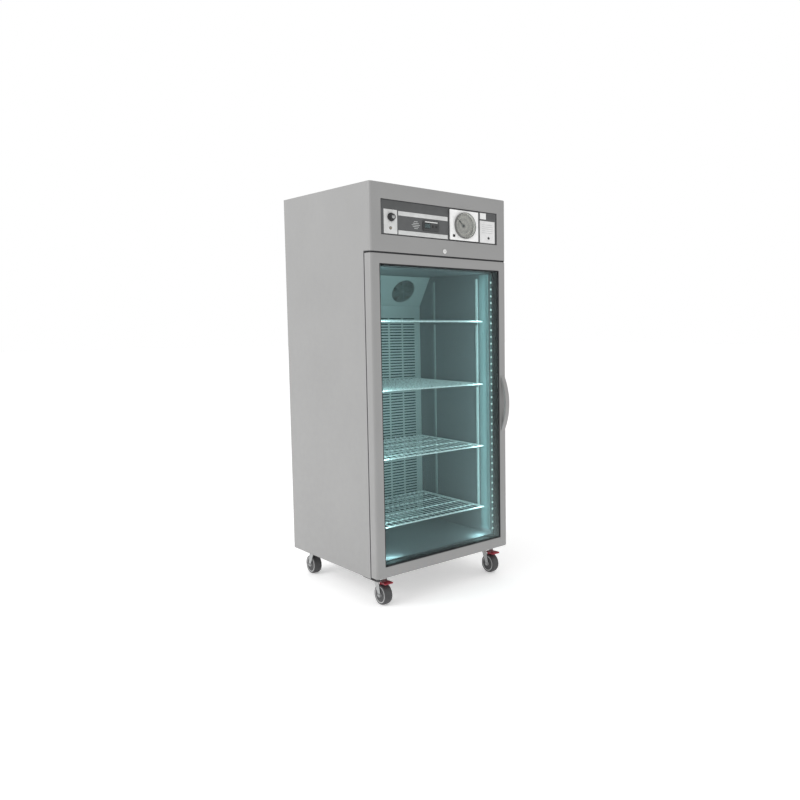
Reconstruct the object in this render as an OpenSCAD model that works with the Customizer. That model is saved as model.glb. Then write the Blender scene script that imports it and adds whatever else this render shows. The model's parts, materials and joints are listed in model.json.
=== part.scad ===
// Upright reach-in proofing cabinet on four swivel casters.
// Frame: origin on the floor under the middle of the whole object, +X to the viewer's right,
// +Y towards the back, +Z up. Millimetres.

/* [Cabinet] */
// Width of the cabinet body
body_w = 820; // [800:2:840]
// Depth of the body, door included
body_d = 820; // [800:2:860]
// Height of the body above the casters
body_h = 1860; // [1850:2:1880]
// Thickness of the insulated side and back walls
wall_t = 60; // [56:1:62]
// Thickness of the insulated floor
floor_t = 70; // [66:1:72]
// Thickness of the steel sheets
sheet_t = 1; // [0.8:0.1:1.2]
// Radius of the rounded upright front edges
edge_r = 14; // [10:1:16]
// Height of the control header above the door
header_h = 314; // [312:1:320]

/* [Door] */
// Thickness of the door
door_t = 55; // [55:1:58]
// Gap between the door and the cabinet's front, which the gasket fills
door_gap = 5; // [3:0.5:5]
// Width of the door's stiles and rails
stile_w = 46; // [44:1:50]
// Clearance above and below the door
door_clear = 8; // [6:0.5:8]
// Turning radius of the hinge pins
hinge_pin_r = 5; // [4:0.5:6]
// Length of the bow handle
handle_l = 300; // [260:10:320]
// How far the bow handle stands out
handle_out = 40; // [36:1:44]
// Width of the bow handle
handle_w = 26; // [22:1:30]

/* [Control panel] */
// Width of the opening for the control panel
panel_w = 702; // [700:1:706]
// Height of the opening for the control panel
panel_h = 162; // [160:1:168]
// Depth that the control panel is set back
panel_recess = 4; // [3:0.5:5]
// Radius of the chart disc
chart_r = 61; // [56:1:62]
// How far the recorder's round window stands out
window_out = 14; // [8:1:18]
// Radius of the main switch knob
knob_r = 20; // [18:1:24]

/* [Shelves] */
// Height of the lowest shelf above the chamber floor
first_shelf = 148; // [130:2:160]
// Height between the shelves
shelf_step = 336; // [320:2:340]
// Depth of a wire shelf
shelf_d = 560; // [520:10:560]
// Number of cross wires in a shelf
shelf_wires = 20; // [16:1:28]

/* [Air circulation] */
// Distance of each fan from the middle
fan_x = 200; // [180:5:220]
// Radius of the round fan openings
fan_hole_r = 70; // [64:1:72]
// Number of blades on a fan
fan_blades = 5; // [3:1:7]
// Columns of slots in the duct panel
slot_columns = 7; // [5:1:7]
// Rows of slots in the duct panel
slot_rows = 71; // [40:1:71]

/* [Casters] */
// Height of the casters, floor to body
caster_h = 140; // [138:1:144]
// Radius of the caster wheels
wheel_r = 50; // [46:1:50]
// Width of the caster wheels
wheel_w = 40; // [36:1:42]
// Trail of the casters, kingpin to axle
caster_trail = 28; // [26:1:32]

/* [Hidden] */
$fn = 64;

// Clearances: between neighbours, and all round a turning pin
gap = 0.3;
run = 0.05;

// Colours
grey = [0.62, 0.62, 0.62];
dark = [0.25, 0.26, 0.27];
pale = [0.85, 0.86, 0.86];
steel = [0.7, 0.74, 0.75];
black = [0.08, 0.08, 0.09];
teal = [0.5, 0.8, 0.8];
red = [0.65, 0.08, 0.1];

// Outside of the body
half_w = body_w / 2;
base_z = caster_h;
top_z = base_z + body_h;
front_y = (handle_out - body_d) / 2;
back_y = front_y + body_d;
header_z = top_z - header_h;
shell_y = front_y + door_t + door_gap;
inner_w = half_w - sheet_t;

// Chamber: the free space inside the liner
ceiling_t = 66;
chamber_x = half_w - wall_t;
chamber_back = back_y - wall_t;
chamber_z0 = base_z + floor_t;
chamber_z1 = header_z - ceiling_t;

// Door
door_z0 = base_z + door_clear;
door_z1 = header_z - door_clear;
door_back = front_y + door_t;
open_x = half_w - stile_w;
open_z0 = door_z0 + stile_w + 5;
open_z1 = door_z1 - stile_w;
hinge_x = 14 - half_w;
hinge_y = front_y + 18;
hinge_block = 34;
glass_y = front_y + 8;
pane_t = 4;
pane_gap = 16;
handle_x = half_w - 25;
handle_z = base_z + 790;

// Control panel
panel_z0 = top_z - 74 - panel_h;
panel_z1 = panel_z0 + panel_h;
fascia_y = front_y + panel_recess;
plate_t = 2.2;
plate_y = fascia_y - plate_t;
plate_z = panel_z0 + 6;
plate_h = 111;
knob_x = -296;
knob_z = panel_z0 + 82;
lamp_z = panel_z0 + 32;
lamp_r = 5;
key_x = -39;
key_z = panel_z0 + 59;
key_size = 10;

// Chart recorder
rec_x = 133;
rec_z = panel_z0 + 80;
rec_w = 182;
rec_h = 152;
rec_door_y = front_y - 5;
rec_door_t = 6.3;
rec_hinge_x = rec_x + rec_w / 2 - 4;
rec_hinge_y = rec_door_y + rec_door_t / 2;
rec_lock_x = rec_x - 68;
rec_lock_z = rec_z - 54;
chart_y = fascia_y - 0.6;
pen_x = rec_x - 52;
pen_z = rec_z + 46;

// Information plate and its push button
info_x = 288;
alarm_x = info_x + 8;
alarm_z = panel_z0 + 31;
alarm_r = 6;

// Header lock
lock_x = 9;
lock_z = header_z + 23;
lock_r = 8;

// Duct panel and slanted fan housing
duct_y = chamber_back - 70;
slant_y = chamber_back - 175;
slant_drop = 164;
slant_run = duct_y - slant_y;
slant_len = sqrt(slant_run ^ 2 + slant_drop ^ 2);
slant_turn = 90 + atan2(slant_run, slant_drop);
duct_top = chamber_z1 - slant_drop;
slot_w = 80;
slot_pitch_x = 90;
slot_h = 6;
slot_pitch_z = 16;
slot_top = duct_top - 76;

// Shelves, posts and runners
post_y = [shell_y + 104, shell_y + 485];
post_w = 12;
post_d = 8;
shelf_x = chamber_x - 15;
shelf_front = shell_y + 40;
rod_r = 4;
rail_r = 3.2;
rail_inset = [74, 203];
wire_r = 2.2;

// Lit covers and strips
cover_w = 72;
cover_d = 8;
strip_w = 12;
strip_t = 3.6;
dot_pitch = 36;
dot_r = 5;

// Casters
caster_x = half_w - 70;
front_pin_y = front_y + 90;
back_pin_y = back_y - 108;
kingpin_r = 5;
axle_r = 4;
fork_top = caster_h - 12;
pedal_y = 13;
pedal_z = fork_top - 16;
pedal_pin_r = 3;

function shelf_z(i) = chamber_z0 + first_shelf + i * shelf_step;

// A block between two corners
module block(x, y, z) {
    translate([x[0], y[0], z[0]])
        cube([x[1] - x[0], y[1] - y[0], z[1] - z[0]]);
}

// A cylinder along Y from y0 to y1
module rod_y(x, z, r, y0, y1) {
    translate([x, y1, z])
        rotate([90, 0, 0])
            cylinder(r = r, h = y1 - y0);
}

// A cylinder along X from x0 to x1
module rod_x(y, z, r, x0, x1) {
    translate([x0, y, z])
        rotate([0, 90, 0])
            cylinder(r = r, h = x1 - x0);
}

// A cylinder along Z from z0 to z1
module rod_z(x, y, r, z0, z1) {
    translate([x, y, z0])
        cylinder(r = r, h = z1 - z0);
}

// Plan outline with two rounded corners on its front side
module rounded_front(w, d, r) {
    intersection() {
        translate([-w / 2, 0])
            square([w, d]);
        union() {
            translate([-w / 2 + r, 0])
                square([w - 2 * r, d + 1]);
            translate([-w / 2, r])
                square([w, d]);
            for (side = [-1, 1])
                translate([side * (w / 2 - r), r])
                    circle(r);
        }
    }
}

// ---- Casing ----

module side_panel(side) {
    edge_y = front_y + edge_r;
    color(grey)
        translate([side > 0 ? inner_w : -half_w, 0, 0])
            rotate([90, 0, 90])
                linear_extrude(sheet_t)
                    polygon([
                        [shell_y, base_z], [back_y, base_z], [back_y, top_z],
                        [edge_y, top_z], [edge_y, header_z], [shell_y, header_z]
                    ]);
}

module top_panel() {
    color(grey)
        block([-inner_w, inner_w], [front_y + edge_r, back_y], [top_z - sheet_t, top_z]);
}

module back_panel() {
    vent_rows = 4;
    vent_z = top_z - 150;
    color(grey) difference() {
        block([-inner_w, inner_w], [back_y - sheet_t, back_y], [base_z, top_z - sheet_t]);
        for (row = [0 : vent_rows - 1], side = [-1, 1])
            block([side * 150 - 90, side * 150 + 90], [back_y - 5, back_y + 1],
                  [vent_z + row * 18, vent_z + row * 18 + 8]);
        block([276, 324], [back_y - 5, back_y + 1], [top_z - 236, top_z - 208]);
    }
}

module base_panel() {
    color(grey)
        block([-inner_w, inner_w], [shell_y, back_y - sheet_t], [base_z, base_z + sheet_t]);
}

module header_cover() {
    color(grey) difference() {
        union() {
            difference() {
                translate([0, front_y, header_z])
                    linear_extrude(header_h)
                        rounded_front(body_w, edge_r, edge_r);
                translate([0, front_y + sheet_t, header_z + sheet_t])
                    linear_extrude(header_h - 2 * sheet_t)
                        rounded_front(body_w - 2 * sheet_t, edge_r, edge_r - sheet_t);
            }
            block([-inner_w, inner_w], [front_y + edge_r, shell_y], [header_z, header_z + sheet_t]);
            block([-panel_w / 2 - sheet_t, panel_w / 2 + sheet_t], [front_y, fascia_y],
                  [panel_z0 - sheet_t, panel_z1 + sheet_t]);
        }
        block([-panel_w / 2, panel_w / 2], [front_y - 1, fascia_y + 1], [panel_z0, panel_z1]);
        rod_y(lock_x, lock_z, lock_r + run, front_y - 1, front_y + 5);
    }
}

module insulation_boards() {
    skin = sheet_t + 0.2;
    board_y = [shell_y + skin, back_y - skin];
    board_z = [base_z + skin, header_z];
    side_in = chamber_x + skin;
    color([0.85, 0.8, 0.62]) {
        block([-half_w + skin, -side_in], board_y, board_z);
        block([side_in, half_w - skin], board_y, board_z);
        block([gap - side_in, side_in - gap], [chamber_back + skin, board_y[1]], board_z);
        block([gap - side_in, side_in - gap], [board_y[0], chamber_back + skin - gap],
              [board_z[0], chamber_z0 - skin]);
        block([gap - side_in, side_in - gap], [board_y[0], chamber_back + skin - gap],
              [chamber_z1 + skin, board_z[1]]);
    }
}

module inner_liner() {
    color(steel) difference() {
        union() {
            block([-chamber_x - sheet_t, chamber_x + sheet_t], [shell_y, chamber_back + sheet_t],
                  [chamber_z0 - sheet_t, chamber_z1 + sheet_t]);
            block([-inner_w, inner_w], [shell_y, shell_y + sheet_t], [base_z + sheet_t, header_z]);
        }
        block([-chamber_x, chamber_x], [shell_y - 1, chamber_back], [chamber_z0, chamber_z1]);
    }
}

// ---- Control panel ----

module fascia_panel() {
    margin = 8;
    back = fascia_y + 2;
    color(dark) difference() {
        block([-panel_w / 2 - margin, panel_w / 2 + margin], [fascia_y, back],
              [panel_z0 - margin, panel_z1 + margin]);
        block([rec_x - 84, rec_x + 84], [fascia_y - 1, back + 1], [rec_z - 69, rec_z + 69]);
        rod_y(knob_x, knob_z, 4 + run, fascia_y - 1, back + 1);
        rod_y(alarm_x, alarm_z, alarm_r + run, fascia_y - 1, back + 1);
        for (x = [key_x, key_x - 2 * key_size])
            block([x - key_size / 2, x + key_size / 2], [fascia_y - 1, back + 1],
                  [key_z - key_size / 2, key_z + key_size / 2]);
    }
}

module switch_plate() {
    color(pale) difference() {
        block([knob_x - 39, knob_x + 34], [plate_y, fascia_y], [plate_z, plate_z + plate_h]);
        rod_y(knob_x, knob_z, 4 + run, plate_y - 1, fascia_y + 1);
    }
}

module switch_knob() {
    knob_front = plate_y - gap - 20;
    color(black) {
        rod_y(knob_x, knob_z, knob_r, plate_y - gap - 5, plate_y - gap);
        rod_y(knob_x, knob_z, knob_r - 6, knob_front, plate_y - gap - 4);
        rod_y(knob_x, knob_z, 4, plate_y - gap - 1, fascia_y + 12);
        block([knob_x - 2, knob_x + 2], [knob_front - 2, knob_front + 1],
              [knob_z, knob_z + knob_r - 8]);
    }
}

module pilot_lamp() {
    color([0.9, 0.6, 0.2]) {
        rod_y(knob_x - 3, lamp_z, lamp_r, plate_y - 4, plate_y - 1);
        rod_y(knob_x - 3, lamp_z, lamp_r + 2, plate_y - 1, plate_y);
    }
}

module trim_bars() {
    color(pale)
        for (z = [plate_z, plate_z + 88])
            block([-256, 32], [plate_y, fascia_y], [z, z + 20]);
}

module controller_case() {
    x0 = -116;
    z0 = key_z - 22;
    color(black) difference() {
        block([x0, x0 + 94], [plate_y - 3, fascia_y], [z0, z0 + 46]);
        block([x0 + 6, x0 + 42], [plate_y - 4, plate_y - 1], [z0 + 8, z0 + 38]);
        for (x = [key_x, key_x - 2 * key_size])
            block([x - key_size / 2, x + key_size / 2], [plate_y - 4, fascia_y + 1],
                  [key_z - key_size / 2, key_z + key_size / 2]);
    }
}

module controller_display() {
    x0 = -110;
    z0 = key_z - 14;
    color([0.1, 0.3, 0.3])
        block([x0 + gap, x0 + 36 - gap], [plate_y - 2.5, plate_y - 1], [z0 + gap, z0 + 30 - gap]);
}

module panel_key(x) {
    half = key_size / 2 - gap;
    color(pale)
        block([x - half, x + half], [plate_y - 4.8, fascia_y + 1], [key_z - half, key_z + half]);
}

module recorder_case() {
    flange_x = [rec_x - rec_w / 2, rec_x + rec_w / 2];
    flange_z = [rec_z - rec_h / 2, rec_z + rec_h / 2];
    color(dark) difference() {
        union() {
            block(flange_x, [fascia_y - 2.4, fascia_y], flange_z);
            block([rec_x - 82, rec_x + 82], [fascia_y - 1, fascia_y + 50], [rec_z - 67, rec_z + 67]);
            for (side = [-1, 1])
                block([rec_hinge_x - 3.5, flange_x[1]], [rec_door_y, fascia_y - 1],
                      side > 0 ? [flange_z[1] - 2, flange_z[1]] : [flange_z[0], flange_z[0] + 2]);
            rod_z(rec_hinge_x, rec_hinge_y, 1.5, flange_z[0] + 1, flange_z[0] + 10);
            rod_z(rec_hinge_x, rec_hinge_y, 1.5, flange_z[1] - 10, flange_z[1] - 1);
        }
        block([rec_x - 80, rec_x + 80], [fascia_y - 3, fascia_y + 3], [rec_z - 65, rec_z + 65]);
    }
    color(dark) {
        rod_y(rec_x, rec_z, 2.5, chart_y - 2, fascia_y + 4);
        rod_y(pen_x, pen_z, 2, chart_y - 1.7, fascia_y + 4);
    }
}

module recorder_door() {
    x0 = rec_x - rec_w / 2;
    z = [rec_z - rec_h / 2 + 2 + gap, rec_z + rec_h / 2 - 2 - gap];
    y = [rec_door_y, rec_door_y + rec_door_t];
    color(pale) difference() {
        union() {
            block([x0, rec_hinge_x], y, z);
            rod_z(rec_hinge_x, rec_hinge_y, rec_door_t / 2, z[0], z[1]);
        }
        rod_y(rec_x, rec_z, chart_r + 1, y[0] - 1, y[1] + 1);
        rod_y(rec_x, rec_z, chart_r + 4, y[0] + 3.5, y[1] + 1);
        rod_y(rec_lock_x, rec_lock_z, 4 + run, y[0] - 1, y[1] + 1);
        for (pin = [[z[0] - 1, z[0] + 11], [z[1] - 11, z[1] + 1]])
            rod_z(rec_hinge_x, rec_hinge_y, 1.5 + run, pin[0], pin[1]);
    }
}

module recorder_window() {
    front = rec_door_y - window_out;
    color([0.8, 0.9, 0.95]) difference() {
        union() {
            rod_y(rec_x, rec_z, chart_r + 3.2, front, rec_door_y);
            rod_y(rec_x, rec_z, chart_r + 0.9, rec_door_y - 1, rec_door_y + 4.7);
            rod_y(rec_x, rec_z, chart_r + 3.8, rec_door_y + 3.5, rec_door_y + 4.7);
        }
        rod_y(rec_x, rec_z, chart_r - 0.2, front + 2, rec_door_y + 5);
    }
}

module recorder_lock() {
    color(black) {
        block([rec_lock_x - 6, rec_lock_x + 6], [rec_door_y - 3, rec_door_y - gap],
              [rec_lock_z - 6, rec_lock_z + 6]);
        rod_y(rec_lock_x, rec_lock_z, 4, rec_door_y - 1, rec_door_y + rec_door_t + 0.5);
    }
}

module chart_disc() {
    color([0.6, 0.62, 0.6]) difference() {
        union() {
            rod_y(rec_x, rec_z, chart_r, chart_y, chart_y + 0.8);
            rod_y(rec_x, rec_z, 7, chart_y - 0.6, chart_y + 1.4);
        }
        rod_y(rec_x, rec_z, 2.5 + run, chart_y - 2, chart_y + 2);
    }
}

module pen_arm() {
    arm_l = 58;
    arm_angle = 42;
    y0 = chart_y - 1.6;
    color(black) difference() {
        translate([pen_x, y0 + 0.8, pen_z])
            rotate([90, 0, 0])
                linear_extrude(0.8) {
                    circle(5);
                    rotate(-arm_angle)
                        translate([0, -1.2])
                            square([arm_l, 2.4]);
                    rotate(-arm_angle)
                        translate([arm_l, 0])
                            circle(2);
                }
        rod_y(pen_x, pen_z, 2 + run, y0 - 1, y0 + 2);
    }
}

module info_plate() {
    color(pale) difference() {
        block([info_x - 50, info_x + 50], [plate_y, fascia_y], [plate_z, plate_z + plate_h]);
        rod_y(alarm_x, alarm_z, alarm_r + run, plate_y - 1, fascia_y + 1);
    }
}

module alarm_button() {
    color(black)
        rod_y(alarm_x, alarm_z, alarm_r, plate_y - 2.5, fascia_y + 4);
}

module door_lock() {
    color(steel) difference() {
        union() {
            rod_y(lock_x, lock_z, lock_r + 3, front_y - 2.5, front_y - gap);
            rod_y(lock_x, lock_z, lock_r, front_y - 1, front_y + 24);
        }
        block([lock_x - 0.8, lock_x + 0.8], [front_y - 3, front_y + 6], [lock_z - 4, lock_z + 4]);
    }
}

// ---- Door ----

// A 4 mm plate that follows the rounded front corner, from its underside z
module hinge_plate(y1, z) {
    intersection() {
        block([1 - half_w, 26 - half_w], [front_y + 3, y1], [z, z + 4]);
        translate([0, front_y + 3, z])
            linear_extrude(4)
                rounded_front(body_w - 4, body_d, edge_r);
    }
}

module hinge_brackets() {
    color(steel) {
        hinge_plate(front_y + 130, base_z - 4.2);
        rod_z(hinge_x, hinge_y, 9, base_z - 1, door_z0 - gap);
        rod_z(hinge_x, hinge_y, hinge_pin_r, base_z, door_z0 + 18);
        hinge_plate(shell_y - gap, header_z - 4);
        rod_z(hinge_x, hinge_y, hinge_pin_r, door_z1 - 18, header_z - 2);
    }
}

module door_frame() {
    rear_cut = 3;
    color(grey) difference() {
        translate([0, front_y, door_z0])
            linear_extrude(door_z1 - door_z0)
                difference() {
                    rounded_front(body_w, door_t, edge_r);
                    for (side = [-1, 1])
                        translate([side * half_w, door_t])
                            rotate(45)
                                square(rear_cut * sqrt(2), center = true);
                }
        block([-open_x, open_x], [front_y - 1, door_back + 1], [open_z0, open_z1]);
        difference() {
            block([-half_w + 2, half_w - 2], [front_y + 2, door_back - 2], [door_z0 + 2, door_z1 - 2]);
            for (z = [door_z0, door_z1 - hinge_block])
                block([-half_w, hinge_block - half_w], [front_y, door_back], [z, z + hinge_block]);
            for (side = [-1, 1])
                block([side * half_w - edge_r, side * half_w + edge_r], [front_y, front_y + edge_r],
                      [door_z0, door_z1]);
            block([handle_x - 10, handle_x + 10], [front_y, front_y + 6],
                  [handle_z - handle_l / 2 - 10, handle_z + handle_l / 2 + 10]);
        }
        rod_z(hinge_x, hinge_y, hinge_pin_r + run, door_z0 - 1, door_z0 + 22);
        rod_z(hinge_x, hinge_y, hinge_pin_r + run, door_z1 - 22, door_z1 + 1);
    }
}

module glass_pane(y0) {
    block([-open_x + 2.5, open_x - 2.5], [y0, y0 + pane_t], [open_z0 + 2.5, open_z1 - 2.5]);
}

module door_glass() {
    color([0.5, 0.75, 0.75, 0.4]) {
        glass_pane(glass_y);
        glass_pane(glass_y + pane_t + pane_gap);
    }
}

// Upright ring in the door opening, its inner edge set in by the given width
module opening_ring(inset, y0, y1) {
    difference() {
        block([-open_x, open_x], [y0, y1], [open_z0, open_z1]);
        block([-open_x + inset, open_x - inset], [y0 - 1, y1 + 1], [open_z0 + inset, open_z1 - inset]);
    }
}

module glazing_bead() {
    pocket = pane_t + 0.2;
    second_y = glass_y + pane_t + pane_gap;
    color(black) difference() {
        union() {
            opening_ring(4.5, front_y + 2, door_back - 1);
            opening_ring(8, glass_y + pane_t, second_y);
        }
        for (y = [glass_y - 0.1, second_y - 0.1])
            block([-open_x + 2.3, open_x - 2.3], [y, y + pocket], [open_z0 + 2.3, open_z1 - 2.3]);
    }
}

module door_gasket() {
    inset = 18;
    width = 12;
    y = [door_back, shell_y - gap];
    x = half_w - inset;
    z = [door_z0 + 8, door_z1 - 8];
    color(dark) difference() {
        block([-x, x], y, z);
        block([-x + width, x - width], [y[0] - 1, y[1] + 1], [z[0] + width, z[1] - width]);
    }
}

module door_handle() {
    foot = 30;
    grip = 15;
    inner_half = handle_l / 2 - foot;
    inner_out = handle_out - grip;
    outer_r = ((handle_l / 2) ^ 2 + handle_out ^ 2) / (2 * handle_out);
    inner_r = (inner_half ^ 2 + inner_out ^ 2) / (2 * inner_out);
    color(grey)
        translate([handle_x - handle_w / 2, front_y, handle_z])
            rotate([90, 0, 90])
                linear_extrude(handle_w)
                    difference() {
                        intersection() {
                            translate([outer_r - handle_out, 0])
                                circle(outer_r, $fn = 180);
                            translate([-handle_out, -handle_l / 2])
                                square([handle_out, handle_l]);
                        }
                        translate([inner_r - inner_out, 0])
                            circle(inner_r, $fn = 180);
                    }
}

// ---- Air circulation ----

// Frame on the slanted housing: +Z points out of the face, +Y runs up it
module on_slant() {
    translate([0, (slant_y + duct_y) / 2, (chamber_z1 + duct_top) / 2])
        rotate([slant_turn, 0, 0])
            children();
}

module duct_panel() {
    side = chamber_x - 0.5;
    first_x = -slot_columns * slot_pitch_x / 2 + slot_pitch_x / 2;
    color(steel)
        translate([0, duct_y + sheet_t, 0])
            rotate([90, 0, 0])
                linear_extrude(sheet_t)
                    difference() {
                        translate([-side, chamber_z0])
                            square([2 * side, duct_top - chamber_z0]);
                        for (column = [0 : slot_columns - 1], row = [0 : slot_rows - 1])
                            translate([first_x + column * slot_pitch_x - slot_w / 2,
                                       slot_top - row * slot_pitch_z])
                                square([slot_w, slot_h]);
                    }
}

module fan_housing() {
    color(steel)
        on_slant()
            difference() {
                translate([-chamber_x + 0.5, -slant_len / 2 + 1, -1.5])
                    cube([2 * chamber_x - 1, slant_len - 3, 1.5]);
                for (side = [-1, 1])
                    translate([side * fan_x, 0, -3])
                        cylinder(r = fan_hole_r, h = 6);
            }
}

module fan_guards() {
    wire = 2.5;
    rings = 5;
    outer_r = fan_hole_r + 5;
    color(dark)
        on_slant()
            for (side = [-1, 1])
                translate([side * fan_x, 0, 0.1])
                    linear_extrude(wire)
                        union() {
                            for (i = [1 : rings])
                                difference() {
                                    circle(i * outer_r / rings);
                                    circle(i * outer_r / rings - wire);
                                }
                            for (turn = [0 : 45 : 135])
                                rotate(turn)
                                    square([2 * outer_r - wire, wire], center = true);
                        }
}

module fan_motors() {
    color(dark)
        on_slant()
            for (side = [-1, 1])
                translate([side * fan_x, 0, 0]) {
                    translate([0, 0, -64])
                        cylinder(r = 28, h = 42);
                    translate([0, 0, -24])
                        cylinder(r = 3, h = 14);
                    translate([-84, -8, -60])
                        cube([168, 16, 3]);
                    for (arm = [-1, 1])
                        translate([arm * 82, 0, -60])
                            cylinder(r = 4, h = 58.5);
                }
}

module fan_rotor(side) {
    hub_r = 18;
    tip_r = fan_hole_r - 6;
    color(black)
        on_slant()
            translate([side * fan_x, 0, -18])
                difference() {
                    union() {
                        cylinder(r = hub_r, h = 12);
                        intersection() {
                            cylinder(r = tip_r, h = 12);
                            for (i = [0 : fan_blades - 1])
                                rotate(i * 360 / fan_blades)
                                    translate([hub_r - 4, 0, 6])
                                        rotate([24, 0, 0])
                                            translate([0, -17, -0.9])
                                                cube([fan_hole_r, 34, 1.8]);
                        }
                    }
                    translate([0, 0, -1])
                        cylinder(r = 3 + run, h = 10);
                }
}

module heater_element() {
    y = chamber_back - 25;
    bend_r = 15;
    reach = 300;
    legs = 4;
    first_z = duct_top + 24;
    color([0.35, 0.3, 0.28]) {
        for (i = [0 : legs - 1])
            rod_x(y, first_z + i * 2 * bend_r, rod_r, -reach, reach);
        for (i = [0 : legs - 2])
            translate([i % 2 == 0 ? reach : -reach, y, first_z + (2 * i + 1) * bend_r])
                rotate([90, i % 2 == 0 ? 0 : 180, 0])
                    rotate([0, 0, -90])
                        rotate_extrude(angle = 180)
                            translate([bend_r, 0])
                                circle(rod_r);
        for (x = [-220, 0, 220])
            block([x - 1, x + 1], [y - 8, chamber_back], [first_z - 12, first_z + 102]);
    }
}

module humidifier() {
    color(pale) {
        block([-310, -110], [duct_y + 8, chamber_back - 4], [chamber_z0, chamber_z0 + 90]);
        rod_z(-150, duct_y + 38, 9, chamber_z0 + 80, chamber_z0 + 130);
        rod_z(-270, duct_y + 38, 5, chamber_z0 + 80, chamber_z0 + 110);
    }
}

// ---- Shelves ----

module shelf_posts() {
    hole_pitch = 33;
    holes = 36;
    z = [shelf_z(0) - 8, chamber_z1 - 26];
    color(steel)
        for (side = [-1, 1], y = post_y)
            difference() {
                block(side > 0 ? [chamber_x - post_d, chamber_x] : [-chamber_x, post_d - chamber_x],
                      [y - post_w / 2, y + post_w / 2], z);
                for (i = [0 : holes - 1])
                    block([side * (chamber_x - post_d) - 2, side * (chamber_x - post_d) + 2],
                          [y - 3, y + 3], [z[0] + 20 + i * hole_pitch, z[0] + 30 + i * hole_pitch]);
            }
}

module shelf_runners() {
    tip = chamber_x - post_d - 0.2;
    y = [post_y[0] - 12, post_y[1] + 105];
    color(steel)
        for (side = [-1, 1], i = [0 : 3]) {
            top = shelf_z(i) - rod_r - 0.2;
            block(side > 0 ? [tip - 14, tip] : [-tip, 14 - tip], y, [top - 1.5, top]);
            block(side > 0 ? [tip - 1.5, tip] : [-tip, 1.5 - tip], y, [top - 14, top]);
        }
}

module shelf(i) {
    side = shelf_x - rod_r;
    y0 = shelf_front + rod_r;
    y1 = shelf_front + shelf_d - rod_r;
    wire_z = rod_r + wire_r - 1;
    pitch = 2 * side / (shelf_wires + 1);
    color(steel)
        translate([0, 0, shelf_z(i)]) {
            for (y = [y0, y1])
                rod_x(y, 0, rod_r, -side, side);
            for (inset = rail_inset, y = [y0 + inset, y1 - inset])
                rod_x(y, rod_r - rail_r, rail_r, -side, side);
            for (end = [-1, 1])
                rod_y(end * side, 0, rod_r, y0, y1);
            for (x = [-side, side], y = [y0, y1])
                translate([x, y, 0])
                    sphere(rod_r);
            for (wire = [1 : shelf_wires])
                rod_y(-side + wire * pitch, wire_z, wire_r, y0 - 2, y1 + 2);
        }
}

// ---- Lighting ----

module lamp_covers() {
    y0 = shell_y + 10;
    color(teal)
        for (side = [-1, 1])
            block(side > 0 ? [chamber_x - cover_d, chamber_x] : [-chamber_x, cover_d - chamber_x],
                  [y0, y0 + cover_w], [chamber_z0 + 24, chamber_z1 - 6]);
}

module light_strips() {
    z = [chamber_z0 + 10, chamber_z1 - 10];
    dots = floor((z[1] - z[0] - 40) / dot_pitch);
    color(teal)
        for (side = [-1, 1]) {
            x = side * (chamber_x + 0.5 + strip_w / 2);
            block([x - strip_w / 2, x + strip_w / 2], [shell_y - strip_t + 1.5, shell_y], z);
            for (i = [0 : dots])
                rod_y(x, z[0] + 20 + i * dot_pitch, dot_r, shell_y - strip_t, shell_y - 1);
        }
}

// ---- Casters ----

// Put a caster's kingpin at its corner; front casters trail forwards, back ones backwards
module at_corner(side, end) {
    translate([side * caster_x, end < 0 ? front_pin_y : back_pin_y, 0])
        rotate(end < 0 ? 180 : 0)
            children();
}

module caster_plates() {
    color(steel)
        for (side = [-1, 1], end = [-1, 1])
            at_corner(side, end) {
                block([-40, 40], [-34, 34], [base_z - 3.2, base_z - 0.2]);
                rod_z(0, 0, 23, fork_top + gap, base_z - 3);
                rod_z(0, 0, kingpin_r, fork_top - 10, base_z - 3);
                rod_z(0, 0, 8, fork_top - 10, fork_top - 5 - gap);
            }
}

// Outline of a fork leg, from the swivel race down to the axle
module fork_leg() {
    polygon([
        [-20, fork_top - 3], [20, fork_top - 3], [24, fork_top - 12],
        [caster_trail + 11, wheel_r + 6], [caster_trail + 11, wheel_r],
        [caster_trail - 11, wheel_r], [caster_trail - 11, wheel_r + 6], [-12, fork_top - 12]
    ]);
    translate([caster_trail, wheel_r])
        circle(11);
}

module caster_fork() {
    leg_t = 3;
    inside = wheel_w / 2 + 2.5;
    color(steel) {
        difference() {
            union() {
                rod_z(0, 0, 22, fork_top - 5, fork_top);
                block([-inside - leg_t, inside + leg_t], [-20, 20], [fork_top - 5, fork_top - 2]);
                for (side = [-1, 1])
                    translate([side > 0 ? inside : -inside - leg_t, 0, 0])
                        rotate([90, 0, 90])
                            linear_extrude(leg_t)
                                fork_leg();
            }
            rod_z(0, 0, kingpin_r + run, fork_top - 6, fork_top + 1);
            rod_x(pedal_y, pedal_z, pedal_pin_r + run, -inside - leg_t - 1, inside + leg_t + 1);
        }
        rod_x(caster_trail, wheel_r, axle_r, -inside - leg_t - 5, inside + leg_t + 5);
        for (side = [-1, 1])
            rod_x(caster_trail, wheel_r, 7, side > 0 ? inside + leg_t : -inside - leg_t - 4,
                  side > 0 ? inside + leg_t + 4 : -inside - leg_t);
    }
}

module caster_wheel() {
    half = wheel_w / 2;
    color(dark)
        translate([0, caster_trail, wheel_r])
            rotate([0, 90, 0])
                rotate_extrude($fn = 96)
                    polygon([
                        [axle_r + run, -half - 2], [12, -half - 2], [14, -half + 4], [36, -half + 4],
                        [38, -half], [wheel_r - 4, -half], [wheel_r, -half + 5],
                        [wheel_r, half - 5], [wheel_r - 4, half], [38, half],
                        [36, half - 4], [14, half - 4], [12, half + 2], [axle_r + run, half + 2]
                    ]);
}

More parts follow.
